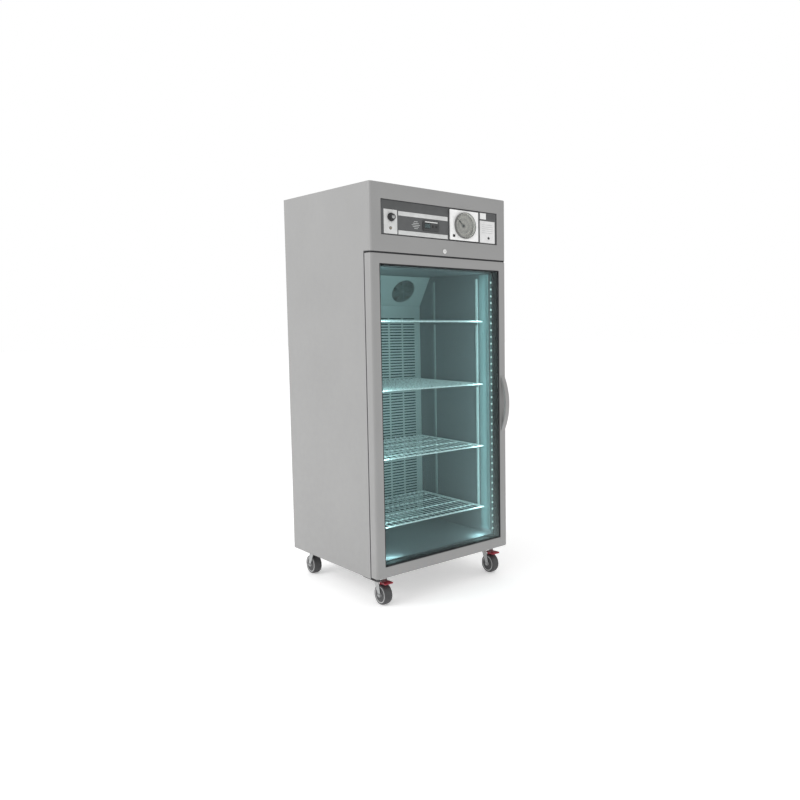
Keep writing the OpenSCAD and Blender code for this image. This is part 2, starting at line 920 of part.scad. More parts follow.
module brake_pedal() {
    half = wheel_w / 2;
    pin_end = half + 5;
    color(red) {
        rod_x(pedal_y, pedal_z, pedal_pin_r, -pin_end, pin_end);
        block([-half, half], [pedal_y, 58], [pedal_z, pedal_z + 4]);
        block([-half + 3, half - 3], [caster_trail - 5, caster_trail + 5],
              [2 * wheel_r + gap, pedal_z + 1]);
        block([-half - 2, half + 2], [48, 80], [pedal_z - 3, pedal_z + 4]);
    }
}

module mains_inlet() {
    z = [top_z - 234, top_z - 210];
    color(black) {
        difference() {
            union() {
                block([278, 322], [back_y - 30, back_y - 0.2], z);
                block([270, 330], [back_y - 5, back_y - sheet_t], [z[0] - 8, z[1] + 8]);
            }
            block([282, 318], [back_y - 24, back_y], [z[0] + 4, z[1] - 4]);
        }
        for (x = [290, 300, 310])
            block([x - 1, x + 1], [back_y - 26, back_y - 10], [z[0] + 9, z[0] + 14]);
    }
}

side_panel(-1);  // side_panel_left
side_panel(1);  // side_panel_right
top_panel();
back_panel();
base_panel();
insulation_boards();
inner_liner();
header_cover();
fascia_panel();
switch_plate();
switch_knob();
pilot_lamp();
trim_bars();
controller_case();
controller_display();
panel_key(key_x);  // button_up
panel_key(key_x - 2 * key_size);  // button_down
recorder_case();
recorder_door();
recorder_window();
recorder_lock();
chart_disc();
pen_arm();
info_plate();
alarm_button();
door_lock();
hinge_brackets();
duct_panel();
fan_housing();
fan_guards();
fan_motors();
fan_rotor(-1);  // fan_rotor_left
fan_rotor(1);  // fan_rotor_right
heater_element();
humidifier();
shelf_posts();
shelf_runners();
shelf(0);  // shelf_1
shelf(1);  // shelf_2
shelf(2);  // shelf_3
shelf(3);  // shelf_4
lamp_covers();
light_strips();
caster_plates();
at_corner(-1, -1) caster_fork();  // fork_front_left
at_corner(1, -1) caster_fork();  // fork_front_right
at_corner(-1, 1) caster_fork();  // fork_back_left
at_corner(1, 1) caster_fork();  // fork_back_right
at_corner(-1, -1) caster_wheel();  // wheel_front_left
at_corner(1, -1) caster_wheel();  // wheel_front_right
at_corner(-1, 1) caster_wheel();  // wheel_back_left
at_corner(1, 1) caster_wheel();  // wheel_back_right
at_corner(-1, -1) brake_pedal();  // brake_pedal_left
at_corner(1, -1) brake_pedal();  // brake_pedal_right
door_frame();
door_glass();
glazing_bead();
door_gasket();
door_handle();
mains_inlet();
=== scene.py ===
"""Looks of the upright proofing cabinet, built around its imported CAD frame.

Metres, in the frame's own axes: +X to the viewer's right, +Y towards the back, +Z up.
"""
import json
import math

import bmesh
import bpy
from mathutils import Euler, Matrix, Vector

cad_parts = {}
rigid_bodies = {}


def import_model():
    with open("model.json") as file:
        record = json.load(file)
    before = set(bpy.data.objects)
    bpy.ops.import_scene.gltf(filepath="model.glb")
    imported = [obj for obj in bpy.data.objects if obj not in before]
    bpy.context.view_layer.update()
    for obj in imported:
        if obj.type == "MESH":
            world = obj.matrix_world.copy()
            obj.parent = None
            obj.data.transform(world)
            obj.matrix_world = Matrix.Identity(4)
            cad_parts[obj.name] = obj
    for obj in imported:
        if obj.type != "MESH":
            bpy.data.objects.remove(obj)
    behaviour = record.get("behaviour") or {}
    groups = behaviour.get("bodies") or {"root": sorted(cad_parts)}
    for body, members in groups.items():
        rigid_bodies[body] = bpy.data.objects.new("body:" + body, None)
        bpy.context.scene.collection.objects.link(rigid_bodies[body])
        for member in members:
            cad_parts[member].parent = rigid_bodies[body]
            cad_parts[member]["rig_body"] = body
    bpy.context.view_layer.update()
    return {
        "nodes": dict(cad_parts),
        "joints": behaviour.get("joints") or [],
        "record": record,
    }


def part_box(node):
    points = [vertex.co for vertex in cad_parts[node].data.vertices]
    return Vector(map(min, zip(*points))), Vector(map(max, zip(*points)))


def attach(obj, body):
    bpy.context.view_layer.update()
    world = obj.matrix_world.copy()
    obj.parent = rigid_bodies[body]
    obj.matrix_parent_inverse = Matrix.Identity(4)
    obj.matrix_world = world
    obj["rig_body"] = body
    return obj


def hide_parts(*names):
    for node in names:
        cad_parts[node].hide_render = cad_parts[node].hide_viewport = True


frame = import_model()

MM = 0.001
TAU = 2 * math.pi

# ---- Places taken from the CAD frame ----

BODY_LO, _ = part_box("side_panel_left")
_, BODY_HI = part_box("side_panel_right")
HEADER_LO, HEADER_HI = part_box("header_cover")
DOOR_LO, DOOR_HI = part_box("door_frame")
LINER_LO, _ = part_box("inner_liner")
GLASS_LO, GLASS_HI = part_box("door_glass")
FASCIA_LO, FASCIA_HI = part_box("fascia_panel")
BODY_OF = {name: node["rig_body"] for name, node in frame["nodes"].items()}
JOINT = {j["name"]: j for j in frame["joints"]}
SIDES = ("left", "right")
ENDS = ("front", "back")

FRONT_Y = HEADER_LO.y
BACK_Y = BODY_HI.y
HALF_W = BODY_HI.x
HEADER_Z = HEADER_LO.z
TOP_Z = HEADER_HI.z
BASE_Z = BODY_LO.z
SHELL_Y = LINER_LO.y
EDGE_R = 14 * MM
FOLD_R = 5 * MM
FOLD = 18 * MM
TOP_LIP = 6 * MM
SHEET = 1 * MM
SEAM = 0.2 * MM
FASCIA_LAP = Vector((8 * MM, 0, 8 * MM))
OPENING_LO, OPENING_HI = FASCIA_LO + FASCIA_LAP, FASCIA_HI - FASCIA_LAP


# ---- Materials ----

class Finish:
    """A Principled material, with short ways to drive it from procedural textures."""

    def __init__(self, name, colour, roughness, metallic=0.0):
        self.material = bpy.data.materials.new(name)
        self.material.use_nodes = True
        self.tree = self.material.node_tree
        self.shader = self.tree.nodes["Principled BSDF"]
        self.colour = colour
        self.set("Base Color", (*colour, 1))
        self.set("Roughness", roughness)
        self.set("Metallic", metallic)
        self.coords = self.tree.nodes.new("ShaderNodeTexCoord").outputs["Object"]

    def set(self, socket, value):
        self.shader.inputs[socket].default_value = value
        return self

    def node(self, kind, inputs=None, **settings):
        made = self.tree.nodes.new("ShaderNode" + kind)
        for key, value in settings.items():
            setattr(made, key, value)
        for key, value in (inputs or {}).items():
            if isinstance(value, bpy.types.NodeSocket):
                self.tree.links.new(value, made.inputs[key])
            else:
                made.inputs[key].default_value = value
        return made

    def link(self, socket, name):
        self.tree.links.new(socket, self.shader.inputs[name])
        return self

    def noise(self, scale, detail=3.0, stretch=(1, 1, 1), rough=0.55):
        mapped = self.node("Mapping", {"Vector": self.coords, "Scale": stretch})
        made = self.node("TexNoise", {"Vector": mapped.outputs[0], "Scale": scale,
                                      "Detail": detail, "Roughness": rough})
        return made.outputs["Fac"]

    def math(self, operation, a, b=0.0, c=0.0):
        made = self.node("Math", {0: a, 1: b, 2: c}, operation=operation)
        return made.outputs[0]

    def ramp(self, factor, stops):
        made = self.node("ValToRGB", {"Fac": factor})
        points = made.color_ramp.elements
        while len(points) < len(stops):
            points.new(0.5)
        for point, (place, value) in zip(points, stops):
            point.position = place
            point.color = (*value, 1) if isinstance(value, tuple) else (value, value, value, 1)
        return made.outputs["Color"]

    def mix(self, factor, under, over):
        made = self.node("Mix", {"Factor": factor, "A": under, "B": over}, data_type="RGBA")
        return made.outputs["Result"]

    def tint(self, factor, spread, low=0.35, high=0.65):
        """Vary the base colour a little to each side of its own value."""
        dark = tuple(c * (1 - spread) for c in self.colour)
        light = tuple(min(1.0, c * (1 + spread)) for c in self.colour)
        return self.link(self.ramp(factor, [(low, dark), (high, light)]), "Base Color")

    def rough(self, factor, low, high):
        made = self.node("MapRange", {"Value": factor, "From Min": 0.3, "From Max": 0.7,
                                      "To Min": low, "To Max": high})
        return self.link(made.outputs[0], "Roughness")

    def bump(self, height, depth, strength=1.0):
        made = self.node("Bump", {"Height": height, "Distance": depth, "Strength": strength})
        return self.link(made.outputs[0], "Normal")

    def glow(self, colour, strength):
        self.set("Emission Color", (*colour, 1))
        return self.set("Emission Strength", strength)

    def local(self, centre):
        """Object coordinates measured from a point, split into x, y and z."""
        moved = self.node("VectorMath", {0: self.coords, 1: tuple(centre)}, operation="SUBTRACT")
        return self.node("SeparateXYZ", {0: moved.outputs[0]}).outputs


def paint(name, colour, roughness=0.42, peel=0.00006):
    f = Finish(name, colour, roughness)
    f.tint(f.noise(2.5, 2), 0.02)
    f.rough(f.noise(35, 3), roughness - 0.05, roughness + 0.06)
    return f.bump(f.noise(650, 2), peel, 0.6).material


def plastic(name, colour, roughness=0.4, grain=0.00005, size=1600):
    f = Finish(name, colour, roughness)
    f.tint(f.noise(30, 2), 0.05)
    f.rough(f.noise(120, 2), roughness - 0.05, roughness + 0.08)
    return f.bump(f.noise(size, 2), grain).material


def brushed(name, colour, roughness=0.34, along="z", metallic=1.0, depth=0.00003):
    fine, coarse = 900, 8
    stretch = tuple(coarse if axis == along else fine for axis in "xyz")
    f = Finish(name, colour, roughness, metallic)
    grain = f.noise(1.0, 4, stretch)
    f.tint(grain, 0.05)
    f.rough(grain, roughness - 0.07, roughness + 0.09)
    return f.bump(grain, depth).material


def front_lit_steel(name, front, back, low, high):
    """Steel with painted light: lighter at the front of the chamber, near its lamps, and darker
    towards the back.
    """
    f = Finish(name, front, 0.34, 0.1)
    _, y, _ = f.local(low)
    f.link(f.ramp(f.math("DIVIDE", y, high[1] - low[1]), [(0.1, front), (0.9, back)]), "Base Color")
    grain = f.noise(1.0, 4, (900, 900, 8))
    f.rough(grain, 0.27, 0.43)
    return f.bump(grain, 0.00003).material


def plated(name, colour, roughness=0.22, metallic=1.0):
    f = Finish(name, colour, roughness, metallic)
    f.tint(f.noise(180, 4), 0.07)
    f.rough(f.noise(90, 4), roughness - 0.06, roughness + 0.12)
    return f.bump(f.noise(400, 3), 0.00004).material


def rubber(name, colour, roughness=0.62):
    f = Finish(name, colour, roughness)
    f.tint(f.noise(60, 4), 0.12)
    f.rough(f.noise(25, 4), roughness - 0.1, roughness + 0.1)
    return f.bump(f.noise(900, 4), 0.00012).material


def lit_cover(name, front_y, back_y):
    """Frosted cover lit at its front edge, fading backwards and a little uneven in height."""
    f = Finish(name, (0.25, 0.31, 0.32), 0.35)
    f.set("Emission Color", (0.40, 0.84, 0.86, 1))
    _, y, _ = f.local((0, front_y, 0))
    depth = f.math("DIVIDE", y, back_y - front_y)
    fade = f.ramp(depth, [(0.0, 0.15), (0.1, 0.11), (0.4, 0.03), (1.0, 0.008)])
    uneven = f.node("MapRange", {"Value": f.noise(3.0, 2, (0, 0, 0.7)), "From Min": 0.3,
                                 "From Max": 0.7, "To Min": 0.85, "To Max": 1.15})
    f.link(f.math("MULTIPLY", fade, uneven.outputs[0]), "Emission Strength")
    return f.bump(f.noise(1.0, 2, (400, 400, 3)), 0.0002).material


def lens_dots(name, strength):
    f = Finish(name, (0.6, 0.7, 0.7), 0.15).glow((0.85, 1.0, 1.0), strength)
    f.tint(f.noise(200, 2), 0.08)
    return f.bump(f.noise(900, 2), 0.0002).material


def pane(name, tint, share):
    """Clear sheet: it passes light straight through, and mirrors more at a slant."""
    f = Finish(name, (0.9, 1.0, 0.99), 0.04, 0.0)
    f.rough(f.noise(6, 3), 0.02, 0.06)
    nodes = f.tree.nodes
    clear = f.node("BsdfTransparent", {"Color": (*tint, 1)})
    slant = f.node("Fresnel", {"IOR": 1.45}).outputs[0]
    shine = f.math("MULTIPLY", slant, share)
    mix = f.node("MixShader", {0: shine, 1: clear.outputs[0], 2: f.shader.outputs[0]})
    f.tree.links.new(mix.outputs[0], nodes["Material Output"].inputs["Surface"])
    return f.material


def chart(name, centre, radius):
    """Chart paper with fine rings, hour lines, a pen trace and a pale rim."""
    f = Finish(name, (0.55, 0.55, 0.53), 0.6)
    x, _, z = f.local(centre)
    reach = f.math("SQRT", f.math("ADD", f.math("MULTIPLY", x, x), f.math("MULTIPLY", z, z)))
    turn = f.math("ARCTAN2", z, x)
    ring_pitch = 4.4 * MM
    spokes = 24

    def off_middle(steps):
        return f.math("ABSOLUTE", f.math("SUBTRACT", f.math("FRACT", steps), 0.5))

    ring = off_middle(f.math("DIVIDE", reach, ring_pitch))
    ray = off_middle(f.math("MULTIPLY", turn, spokes / TAU))
    lines = f.math("MAXIMUM", f.math("LESS_THAN", ring, 0.13), f.math("LESS_THAN", ray, 0.04))
    wobble = f.math("MULTIPLY", f.noise(90, 2), 6 * MM)
    trace_r = f.math("ADD", wobble, radius * 0.55)
    trace = f.math("LESS_THAN", f.math("ABSOLUTE", f.math("SUBTRACT", reach, trace_r)), 0.45 * MM)
    rim = f.math("GREATER_THAN", reach, radius * 0.94)
    mottle = f.math("ADD", f.math("DIVIDE", reach, radius),
                    f.math("MULTIPLY", f.noise(45, 4), 0.24))
    paper = f.ramp(f.math("SUBTRACT", mottle, 0.12), [
        (0.06, (0.16, 0.16, 0.155)), (0.2, (0.40, 0.395, 0.375)), (0.34, (0.54, 0.53, 0.51)),
        (0.5, (0.39, 0.385, 0.365)), (0.68, (0.57, 0.56, 0.53)), (0.86, (0.50, 0.49, 0.465))])
    ruled = f.mix(lines, paper, (0.20, 0.20, 0.19, 1))
    drawn = f.mix(trace, ruled, (0.06, 0.08, 0.16, 1))
    edged = f.mix(rim, drawn, (0.48, 0.48, 0.46, 1))
    f.link(edged, "Base Color")
    return f.bump(f.noise(700, 3), 0.00004).material


def ruled_label(name, low, high):
    """Pale card with faint plain rules across it, and no lettering."""
    f = Finish(name, (0.74, 0.745, 0.74), 0.32)
    x, _, z = f.local(low)
    size = high - low
    across = f.math("DIVIDE", x, size.x)
    up = f.math("DIVIDE", z, size.z)
    rule = f.math("LESS_THAN", f.math("FRACT", f.math("MULTIPLY", up, 11)), 0.16)
    inside = f.math("MULTIPLY", f.math("GREATER_THAN", across, 0.14),
                    f.math("LESS_THAN", across, 0.86))
    upper = f.math("MULTIPLY", f.math("GREATER_THAN", up, 0.42), f.math("LESS_THAN", up, 0.9))
    mask = f.math("MULTIPLY", rule, f.math("MULTIPLY", inside, upper))
    card = f.ramp(f.noise(50, 2), [(0.35, 0.72), (0.65, 0.78)])
    f.link(f.mix(mask, card, (0.42, 0.43, 0.43, 1)), "Base Color")
    return f.bump(f.noise(1500, 2), 0.00003).material


def foam(name, colour):
    f = Finish(name, colour, 0.85)
    f.tint(f.noise(25, 4), 0.08)
    return f.bump(f.noise(350, 5), 0.0005).material


# ---- Mesh helpers ----

def finish_mesh(bm, name, smooth=32):
    """Turn a bmesh into an object with clean normals and smooth shading below an angle."""
    bmesh.ops.remove_doubles(bm, verts=bm.verts, dist=1e-6)
    bmesh.ops.recalc_face_normals(bm, faces=bm.faces)
    mesh = bpy.data.meshes.new(name)
    bm.to_mesh(mesh)
    bm.free()
    mesh.shade_smooth()
    mesh.set_sharp_from_angle(angle=math.radians(smooth))
    piece = bpy.data.objects.new(name, mesh)
    bpy.context.scene.collection.objects.link(piece)
    return piece


def place(piece, body, slot, *nodes, finish=None):
    """Give a piece its body and its finish, the slot's own unless another is given, and hide the
    CAD nodes it stands for.
    """
    piece.data.materials.clear()
    piece.data.materials.append(finish or FINISH[slot])
    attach(piece, body)
    if nodes:
        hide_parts(*nodes)


def dress(node, material):
    """Give a CAD node that keeps its own shape its finish."""
    mesh = frame["nodes"][node].data
    mesh.materials.clear()
    mesh.materials.append(material)


def add_box(bm, low, high, radius=0.0, segments=3):
    """Add a box between two corners, its edges rounded."""
    made = bmesh.ops.create_cube(bm, size=1)["verts"]
    size = Vector(high) - Vector(low)
    middle = (Vector(high) + Vector(low)) / 2
    for v in made:
        v.co = Vector((v.co.x * size.x, v.co.y * size.y, v.co.z * size.z)) + middle
    if radius > 0:
        edges = list({e for v in made for e in v.link_edges})
        bmesh.ops.bevel(bm, geom=edges, offset=radius, segments=segments, profile=0.5,
                        affect="EDGES", clamp_overlap=True)


def round_edges(bm, radius, segments, chosen):
    edges = [e for e in bm.edges if chosen(e)]
    bmesh.ops.bevel(bm, geom=edges, offset=radius, segments=segments, profile=0.5,
                    affect="EDGES", clamp_overlap=True)


def sharp(edge, degrees=30):
    return len(edge.link_faces) == 2 and edge.calc_face_angle(0) > math.radians(degrees)


def middle_of(edge):
    return (edge.verts[0].co + edge.verts[1].co) / 2


def upright(edge, least=1.0):
    """True for an edge that climbs more than a height in metres."""
    return abs(edge.verts[0].co.z - edge.verts[1].co.z) > least


def soften(node, name, radius, segments, slot, finish=None, smooth=32):
    """Replace a CAD node by a copy with softened edges, on the node's own body."""
    bm = bmesh.new()
    bm.from_mesh(frame["nodes"][node].data)
    bmesh.ops.remove_doubles(bm, verts=bm.verts, dist=1e-5)
    bmesh.ops.dissolve_limit(bm, angle_limit=math.radians(1), verts=bm.verts, edges=bm.edges)
    round_edges(bm, radius, segments, sharp)
    place(finish_mesh(bm, name, smooth), BODY_OF[node], slot, node, finish=finish)


def round_point(radius, angle, height):
    return Vector((radius * math.cos(angle), radius * math.sin(angle), height))


def skin_rings(bm, rings):
    """Join rings of equally many corners by faces, with a cap at each end."""
    count = len(rings[0])
    for low, high in zip(rings, rings[1:]):
        for i in range(count):
            j = (i + 1) % count
            bm.faces.new((low[i], low[j], high[j], high[i]))
    bm.faces.new(list(reversed(rings[0])))
    bm.faces.new(rings[-1])


def turned(bm, profile, matrix, segments=48, shape=None):
    """Spin a profile of (radius, height) points about local +Z, closed by a cap at each end.

    shape(angle, radius), if given, may change a radius.
    """
    rings = []
    for radius, height in profile:
        ring = []
        for i in range(segments):
            angle = TAU * i / segments
            r = shape(angle, radius) if shape else radius
            ring.append(bm.verts.new(matrix @ round_point(r, angle, height)))
        rings.append(ring)
    skin_rings(bm, rings)


def turned_ring(bm, outline, matrix, segments=48):
    """Spin a closed outline of (radius, height) points about local +Z."""
    rings = []
    for i in range(segments):
        angle = TAU * i / segments
        rings.append([bm.verts.new(matrix @ round_point(r, angle, h)) for r, h in outline])
    count = len(outline)
    for i in range(segments):
        here, there = rings[i], rings[(i + 1) % segments]
        for k in range(count):
            j = (k + 1) % count
            bm.faces.new((here[k], here[j], there[j], there[k]))


def aimed(centre, direction):
    """Matrix that puts local +Z along a direction, at a centre."""
    turn = Vector(direction).to_track_quat("Z", "Y").to_matrix().to_4x4()
    return Matrix.Translation(Vector(centre)) @ turn


def add_screw(bm, centre, direction, radius, height):
    """Pan head with a hexagon socket, standing on a face."""
    socket = radius * 0.45

    def hexagon(angle, r):
        return r / math.cos((angle % (TAU / 6)) - TAU / 12) if r == socket else r

    profile = [(radius, 0), (radius, height * 0.45), (radius * 0.92, height * 0.85),
               (radius * 0.78, height), (socket, height), (socket, height * 0.25)]
    turned(bm, profile, aimed(centre, direction), 24, hexagon)


def screws(name, places, direction, radius, height):
    bm = bmesh.new()
    for centre in places:
        add_screw(bm, centre, direction, radius, height)
    return finish_mesh(bm, name, 40)


def swept_frame(bm, low, high, outline):
    """Sweep a closed outline of (inset, y) points round an upright rectangle, with mitres."""
    corners = []
    for sx, sz in ((-1, -1), (1, -1), (1, 1), (-1, 1)):
        x = high.x if sx > 0 else low.x
        z = high.z if sz > 0 else low.z
        corners.append([bm.verts.new((x - sx * inset, y, z - sz * inset)) for inset, y in outline])
    count = len(outline)
    for k in range(4):
        here, there = corners[k], corners[(k + 1) % 4]
        for i in range(count):
            j = (i + 1) % count
            bm.faces.new((here[i], here[j], there[j], there[i]))


def tube(bm, points, radius, sides=10, closed=False):
    """A round wire through a list of points."""
    rings = []
    count = len(points)
    for i, point in enumerate(points):
        before = points[i - 1] if (i > 0 or closed) else points[i]
        after = points[(i + 1) % count] if (i < count - 1 or closed) else points[i]
        turn = (Vector(after) - Vector(before)).to_track_quat("Z", "Y").to_matrix()
        rings.append([bm.verts.new(Vector(point) + turn @ round_point(radius, TAU * k / sides, 0))
                      for k in range(sides)])
    pairs = list(zip(rings, rings[1:])) + ([(rings[-1], rings[0])] if closed else [])
    for low, high in pairs:
        shift = 0
        if closed and low is rings[-1]:
            shift = min(range(sides), key=lambda s: (low[0].co - high[s].co).length)
        for k in range(sides):
            j = (k + 1) % sides
            bm.faces.new((low[k], low[j], high[(j + shift) % sides], high[(k + shift) % sides]))
    if not closed:
        bm.faces.new(list(reversed(rings[0])))
        bm.faces.new(rings[-1])


def keep_below(bm, point, normal):
    """Cut a mesh with a plane and throw away what is on the side the normal points to."""
    bmesh.ops.bisect_plane(bm, geom=bm.verts[:] + bm.edges[:] + bm.faces[:], dist=1e-6,
                           plane_co=point, plane_no=normal, clear_outer=True)


def score(bm, point, normal):
    """Cut a mesh with a plane and keep both sides."""
    bmesh.ops.bisect_plane(bm, geom=bm.verts[:] + bm.edges[:] + bm.faces[:], dist=1e-6,
                           plane_co=point, plane_no=normal)


def thicken(piece, thickness):
    """Make a solid sheet of a skin, growing inwards."""
    sheet = piece.modifiers.new("sheet", "SOLIDIFY")
    sheet.thickness = thickness
    sheet.offset = -1
    apply_modifiers(piece)
    piece.data.set_sharp_from_angle(angle=math.radians(40))
    return piece


def apply_modifiers(piece):
    depsgraph = bpy.context.evaluated_depsgraph_get()
    mesh = bpy.data.meshes.new_from_object(piece.evaluated_get(depsgraph))
    piece.modifiers.clear()
    piece.data = mesh


# ---- Finishes by the record's slot ----

CHART_LO, CHART_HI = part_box("chart_disc")
CHART_MID = (CHART_LO + CHART_HI) / 2
CHART_R = (CHART_HI.x - CHART_LO.x) / 2
INFO_LO, INFO_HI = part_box("info_plate")
COVER_LO, COVER_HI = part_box("lamp_covers")

GREY = (0.300, 0.299, 0.297)
FINISH = {
    "painted_grey": paint("painted_grey", GREY),
    "fascia": plastic("fascia", (0.094, 0.097, 0.099), 0.45),
    "pale_plate": plastic("pale_plate", (0.78, 0.785, 0.78), 0.32, 0.00003),
    "black_plastic": plastic("black_plastic", (0.022, 0.022, 0.024), 0.42),
    "display": plastic("display", (0.012, 0.02, 0.022), 0.12, 0.00001),
    "lamp_lens": plastic("lamp_lens", (0.35, 0.30, 0.22), 0.25, 0.00002),
    "chart_paper": chart("chart_paper", CHART_MID, CHART_R),
    "clear_window": pane("clear_window", (0.98, 0.975, 0.97), 0.5),
    "lock_metal": plated("lock_metal", (0.80, 0.80, 0.79), 0.2),
    "stainless": brushed("stainless", (0.262, 0.262, 0.278), 0.42, "z", 0.35),
    "chrome_wire": plated("chrome_wire", (0.95, 0.96, 0.96), 0.26, 0.2),
    "zinc": plated("zinc", (0.42, 0.43, 0.43), 0.36),
    "foam": foam("foam", (0.78, 0.70, 0.46)),
    "lamp_cover": lit_cover("lamp_cover", COVER_LO.y, COVER_HI.y),
    "light_dots": lens_dots("light_dots", 0.7),
    "door_glass": pane("door_glass", (0.92, 0.965, 0.965), 0.2),
    "rubber_black": rubber("rubber_black", (0.012, 0.012, 0.014), 0.72),
    "caster_tread": rubber("caster_tread", (0.055, 0.055, 0.057), 0.55),
    "red_pedal": plastic("red_pedal", (0.28, 0.010, 0.024), 0.34),
    "heater_metal": brushed("heater_metal", (0.22, 0.17, 0.14), 0.45, "x"),
    "tank_plastic": plastic("tank_plastic", (0.72, 0.73, 0.71), 0.4),
}
HUB_GREY = plastic("hub_grey", (0.42, 0.425, 0.425), 0.42)
DUCT_STEEL = brushed("duct_steel", (0.51, 0.54, 0.54), 0.4, "z", 0.15, 0.00001)
# Shelf posts: painted light, lighter at the front and darker towards the back of the chamber.
POST_STEEL = front_lit_steel("post_steel", (0.64, 0.66, 0.66), (0.36, 0.39, 0.39),
                        *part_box("shelf_posts"))
RAIL_TEAL = brushed("rail_teal", (0.20, 0.33, 0.33), 0.4, "z", 0.1)
# painted shade: near-black sheet behind the duct slots
SLOT_SHADE = foam("slot_shade_black", (0.022, 0.026, 0.026))
GUARD_GREY = plated("guard_grey", (0.34, 0.35, 0.35), 0.5, 0.2)
ROTOR_GREY = plastic("rotor_grey", (0.11, 0.12, 0.12), 0.5)
KEY_DARK = plastic("key_dark", (0.020, 0.021, 0.022), 0.4)
PLATE_GREY = plastic("plate_grey", (0.64, 0.645, 0.64), 0.34, 0.00003)
DOOR_WHITE = plastic("door_white", (0.93, 0.93, 0.925), 0.3, 0.00003)
HINGE_DARK = plated("hinge_dark", (0.10, 0.10, 0.10), 0.45, 0.5)
SCREW_STEEL = plated("screw_steel", (0.62, 0.62, 0.61), 0.26)
GASKET_GREY = rubber("gasket_grey", (0.16, 0.165, 0.17), 0.55)
BAND_DARK = plastic("band_dark", (0.078, 0.081, 0.082), 0.4)
CASE_DARK = plastic("case_dark", (0.046, 0.048, 0.049), 0.38)
# painted shade: the window's outer collar darkened as if in shadow
COLLAR_SHADED = plastic("collar_shaded", (0.165, 0.165, 0.160), 0.42)
# painted light: the window's inner sleeve made pale as if lit
SLEEVE_LIT = plastic("sleeve_lit", (0.90, 0.90, 0.86), 0.5)
MARK_PALE = plastic("mark_pale", (0.56, 0.58, 0.575), 0.38, 0.00002)
BAR_GLOW = plastic("bar_glow", (0.16, 0.24, 0.25), 0.3, 0.00001)


# ---- Casing: sheet panels cut from one rounded skin ----

def casing_skin(with_door_bay):
    """Closed skin of the whole casing, its upright front edges and its top edges rounded."""
    bm = bmesh.new()
    add_box(bm, (-HALF_W, FRONT_Y, BASE_Z), (HALF_W, BACK_Y, TOP_Z))
    round_edges(bm, EDGE_R, 8, lambda e: upright(e) and middle_of(e).y < 0)
    round_edges(bm, FOLD_R, 4, lambda e: sharp(e) and middle_of(e).z > TOP_Z - MM)
    round_edges(bm, 2 * MM, 2, lambda e: sharp(e) and middle_of(e).z < BASE_Z + MM)
    if with_door_bay:
        score(bm, (0, 0, HEADER_Z), (0, 0, 1))
        score(bm, (0, SHELL_Y, 0), (0, 1, 0))
        bay = [f for f in bm.faces if f.calc_center_median().z < HEADER_Z
               and f.calc_center_median().y < SHELL_Y]
        bmesh.ops.delete(bm, geom=bay, context="FACES")
    return bm


def make_side_panels():
    for name, side in zip(SIDES, (-1, 1)):
        bm = casing_skin(True)
        keep_below(bm, (side * (HALF_W - FOLD), 0, 0), (-side, 0, 0))
        keep_below(bm, (0, FRONT_Y + EDGE_R + SEAM, 0), (0, -1, 0))
        keep_below(bm, (0, BACK_Y - 2 * SHEET, 0), (0, 1, 0))
        piece = thicken(finish_mesh(bm, f"side_skin_{name}"), SHEET)
        place(piece, "cabinet", "painted_grey", f"side_panel_{name}")


def make_top_panel():
    bm = casing_skin(False)
    keep_below(bm, (0, 0, TOP_Z - FOLD_R), (0, 0, -1))
    for side in (-1, 1):
        keep_below(bm, (side * (HALF_W - FOLD - SEAM), 0, 0), (side, 0, 0))
    keep_below(bm, (0, FRONT_Y + EDGE_R + TOP_LIP + SEAM, 0), (0, -1, 0))
    piece = thicken(finish_mesh(bm, "top_skin"), SHEET)
    place(piece, "cabinet", "painted_grey", "top_panel")


def make_header_cover():
    """Folded front of the header, with the window for the control panel."""
    bm = bmesh.new()
    add_box(bm, (-HALF_W, FRONT_Y, HEADER_Z), (HALF_W, BACK_Y, TOP_Z))
    round_edges(bm, EDGE_R, 8, lambda e: upright(e, 0.1) and middle_of(e).y < 0)
    round_edges(bm, FOLD_R, 4, lambda e: sharp(e) and middle_of(e).z > TOP_Z - MM)
    round_edges(bm, 2 * MM, 2, lambda e: sharp(e) and middle_of(e).z < HEADER_Z + MM)
    keep_below(bm, (0, SHELL_Y, 0), (0, 1, 0))
    edge_y = FRONT_Y + EDGE_R
    low_lip = HEADER_Z + 3 * MM
    for y in (edge_y, edge_y + TOP_LIP):
        score(bm, (0, y, 0), (0, 1, 0))
    for x in (OPENING_LO.x, OPENING_HI.x, FOLD - HALF_W, HALF_W - FOLD):
        score(bm, (x, 0, 0), (1, 0, 0))
    for z in (OPENING_LO.z, OPENING_HI.z, low_lip):
        score(bm, (0, 0, z), (0, 0, 1))
    gone = []
    for f in bm.faces:
        c = f.calc_center_median()
        on_window = (c.y < FRONT_Y + MM and abs(c.x) < OPENING_HI.x
                     and OPENING_LO.z < c.z < OPENING_HI.z)
        side_part = c.y > edge_y and abs(c.x) > HALF_W - FOLD and c.z > low_lip
        top_part = c.y > edge_y + TOP_LIP and c.z > low_lip
        if on_window or side_part or top_part:
            gone.append(f)
    bmesh.ops.delete(bm, geom=gone, context="FACES")
    rim = [e for e in bm.edges if e.is_boundary and middle_of(e).y < FRONT_Y + MM
           and abs(middle_of(e).x) < OPENING_HI.x + MM]
    turned_in = bmesh.ops.extrude_edge_only(bm, edges=rim)["geom"]
    for v in turned_in:
        if isinstance(v, bmesh.types.BMVert):
            v.co.y = FASCIA_LO.y - 0.1 * MM
    round_edges(bm, 1.2 * MM, 2, lambda e: sharp(e, 60) and middle_of(e).y < FRONT_Y + 0.1 * MM
                and abs(middle_of(e).x) < OPENING_HI.x + MM)
    piece = thicken(finish_mesh(bm, "header_skin"), SHEET)
    place(piece, "cabinet", "painted_grey", "header_cover")


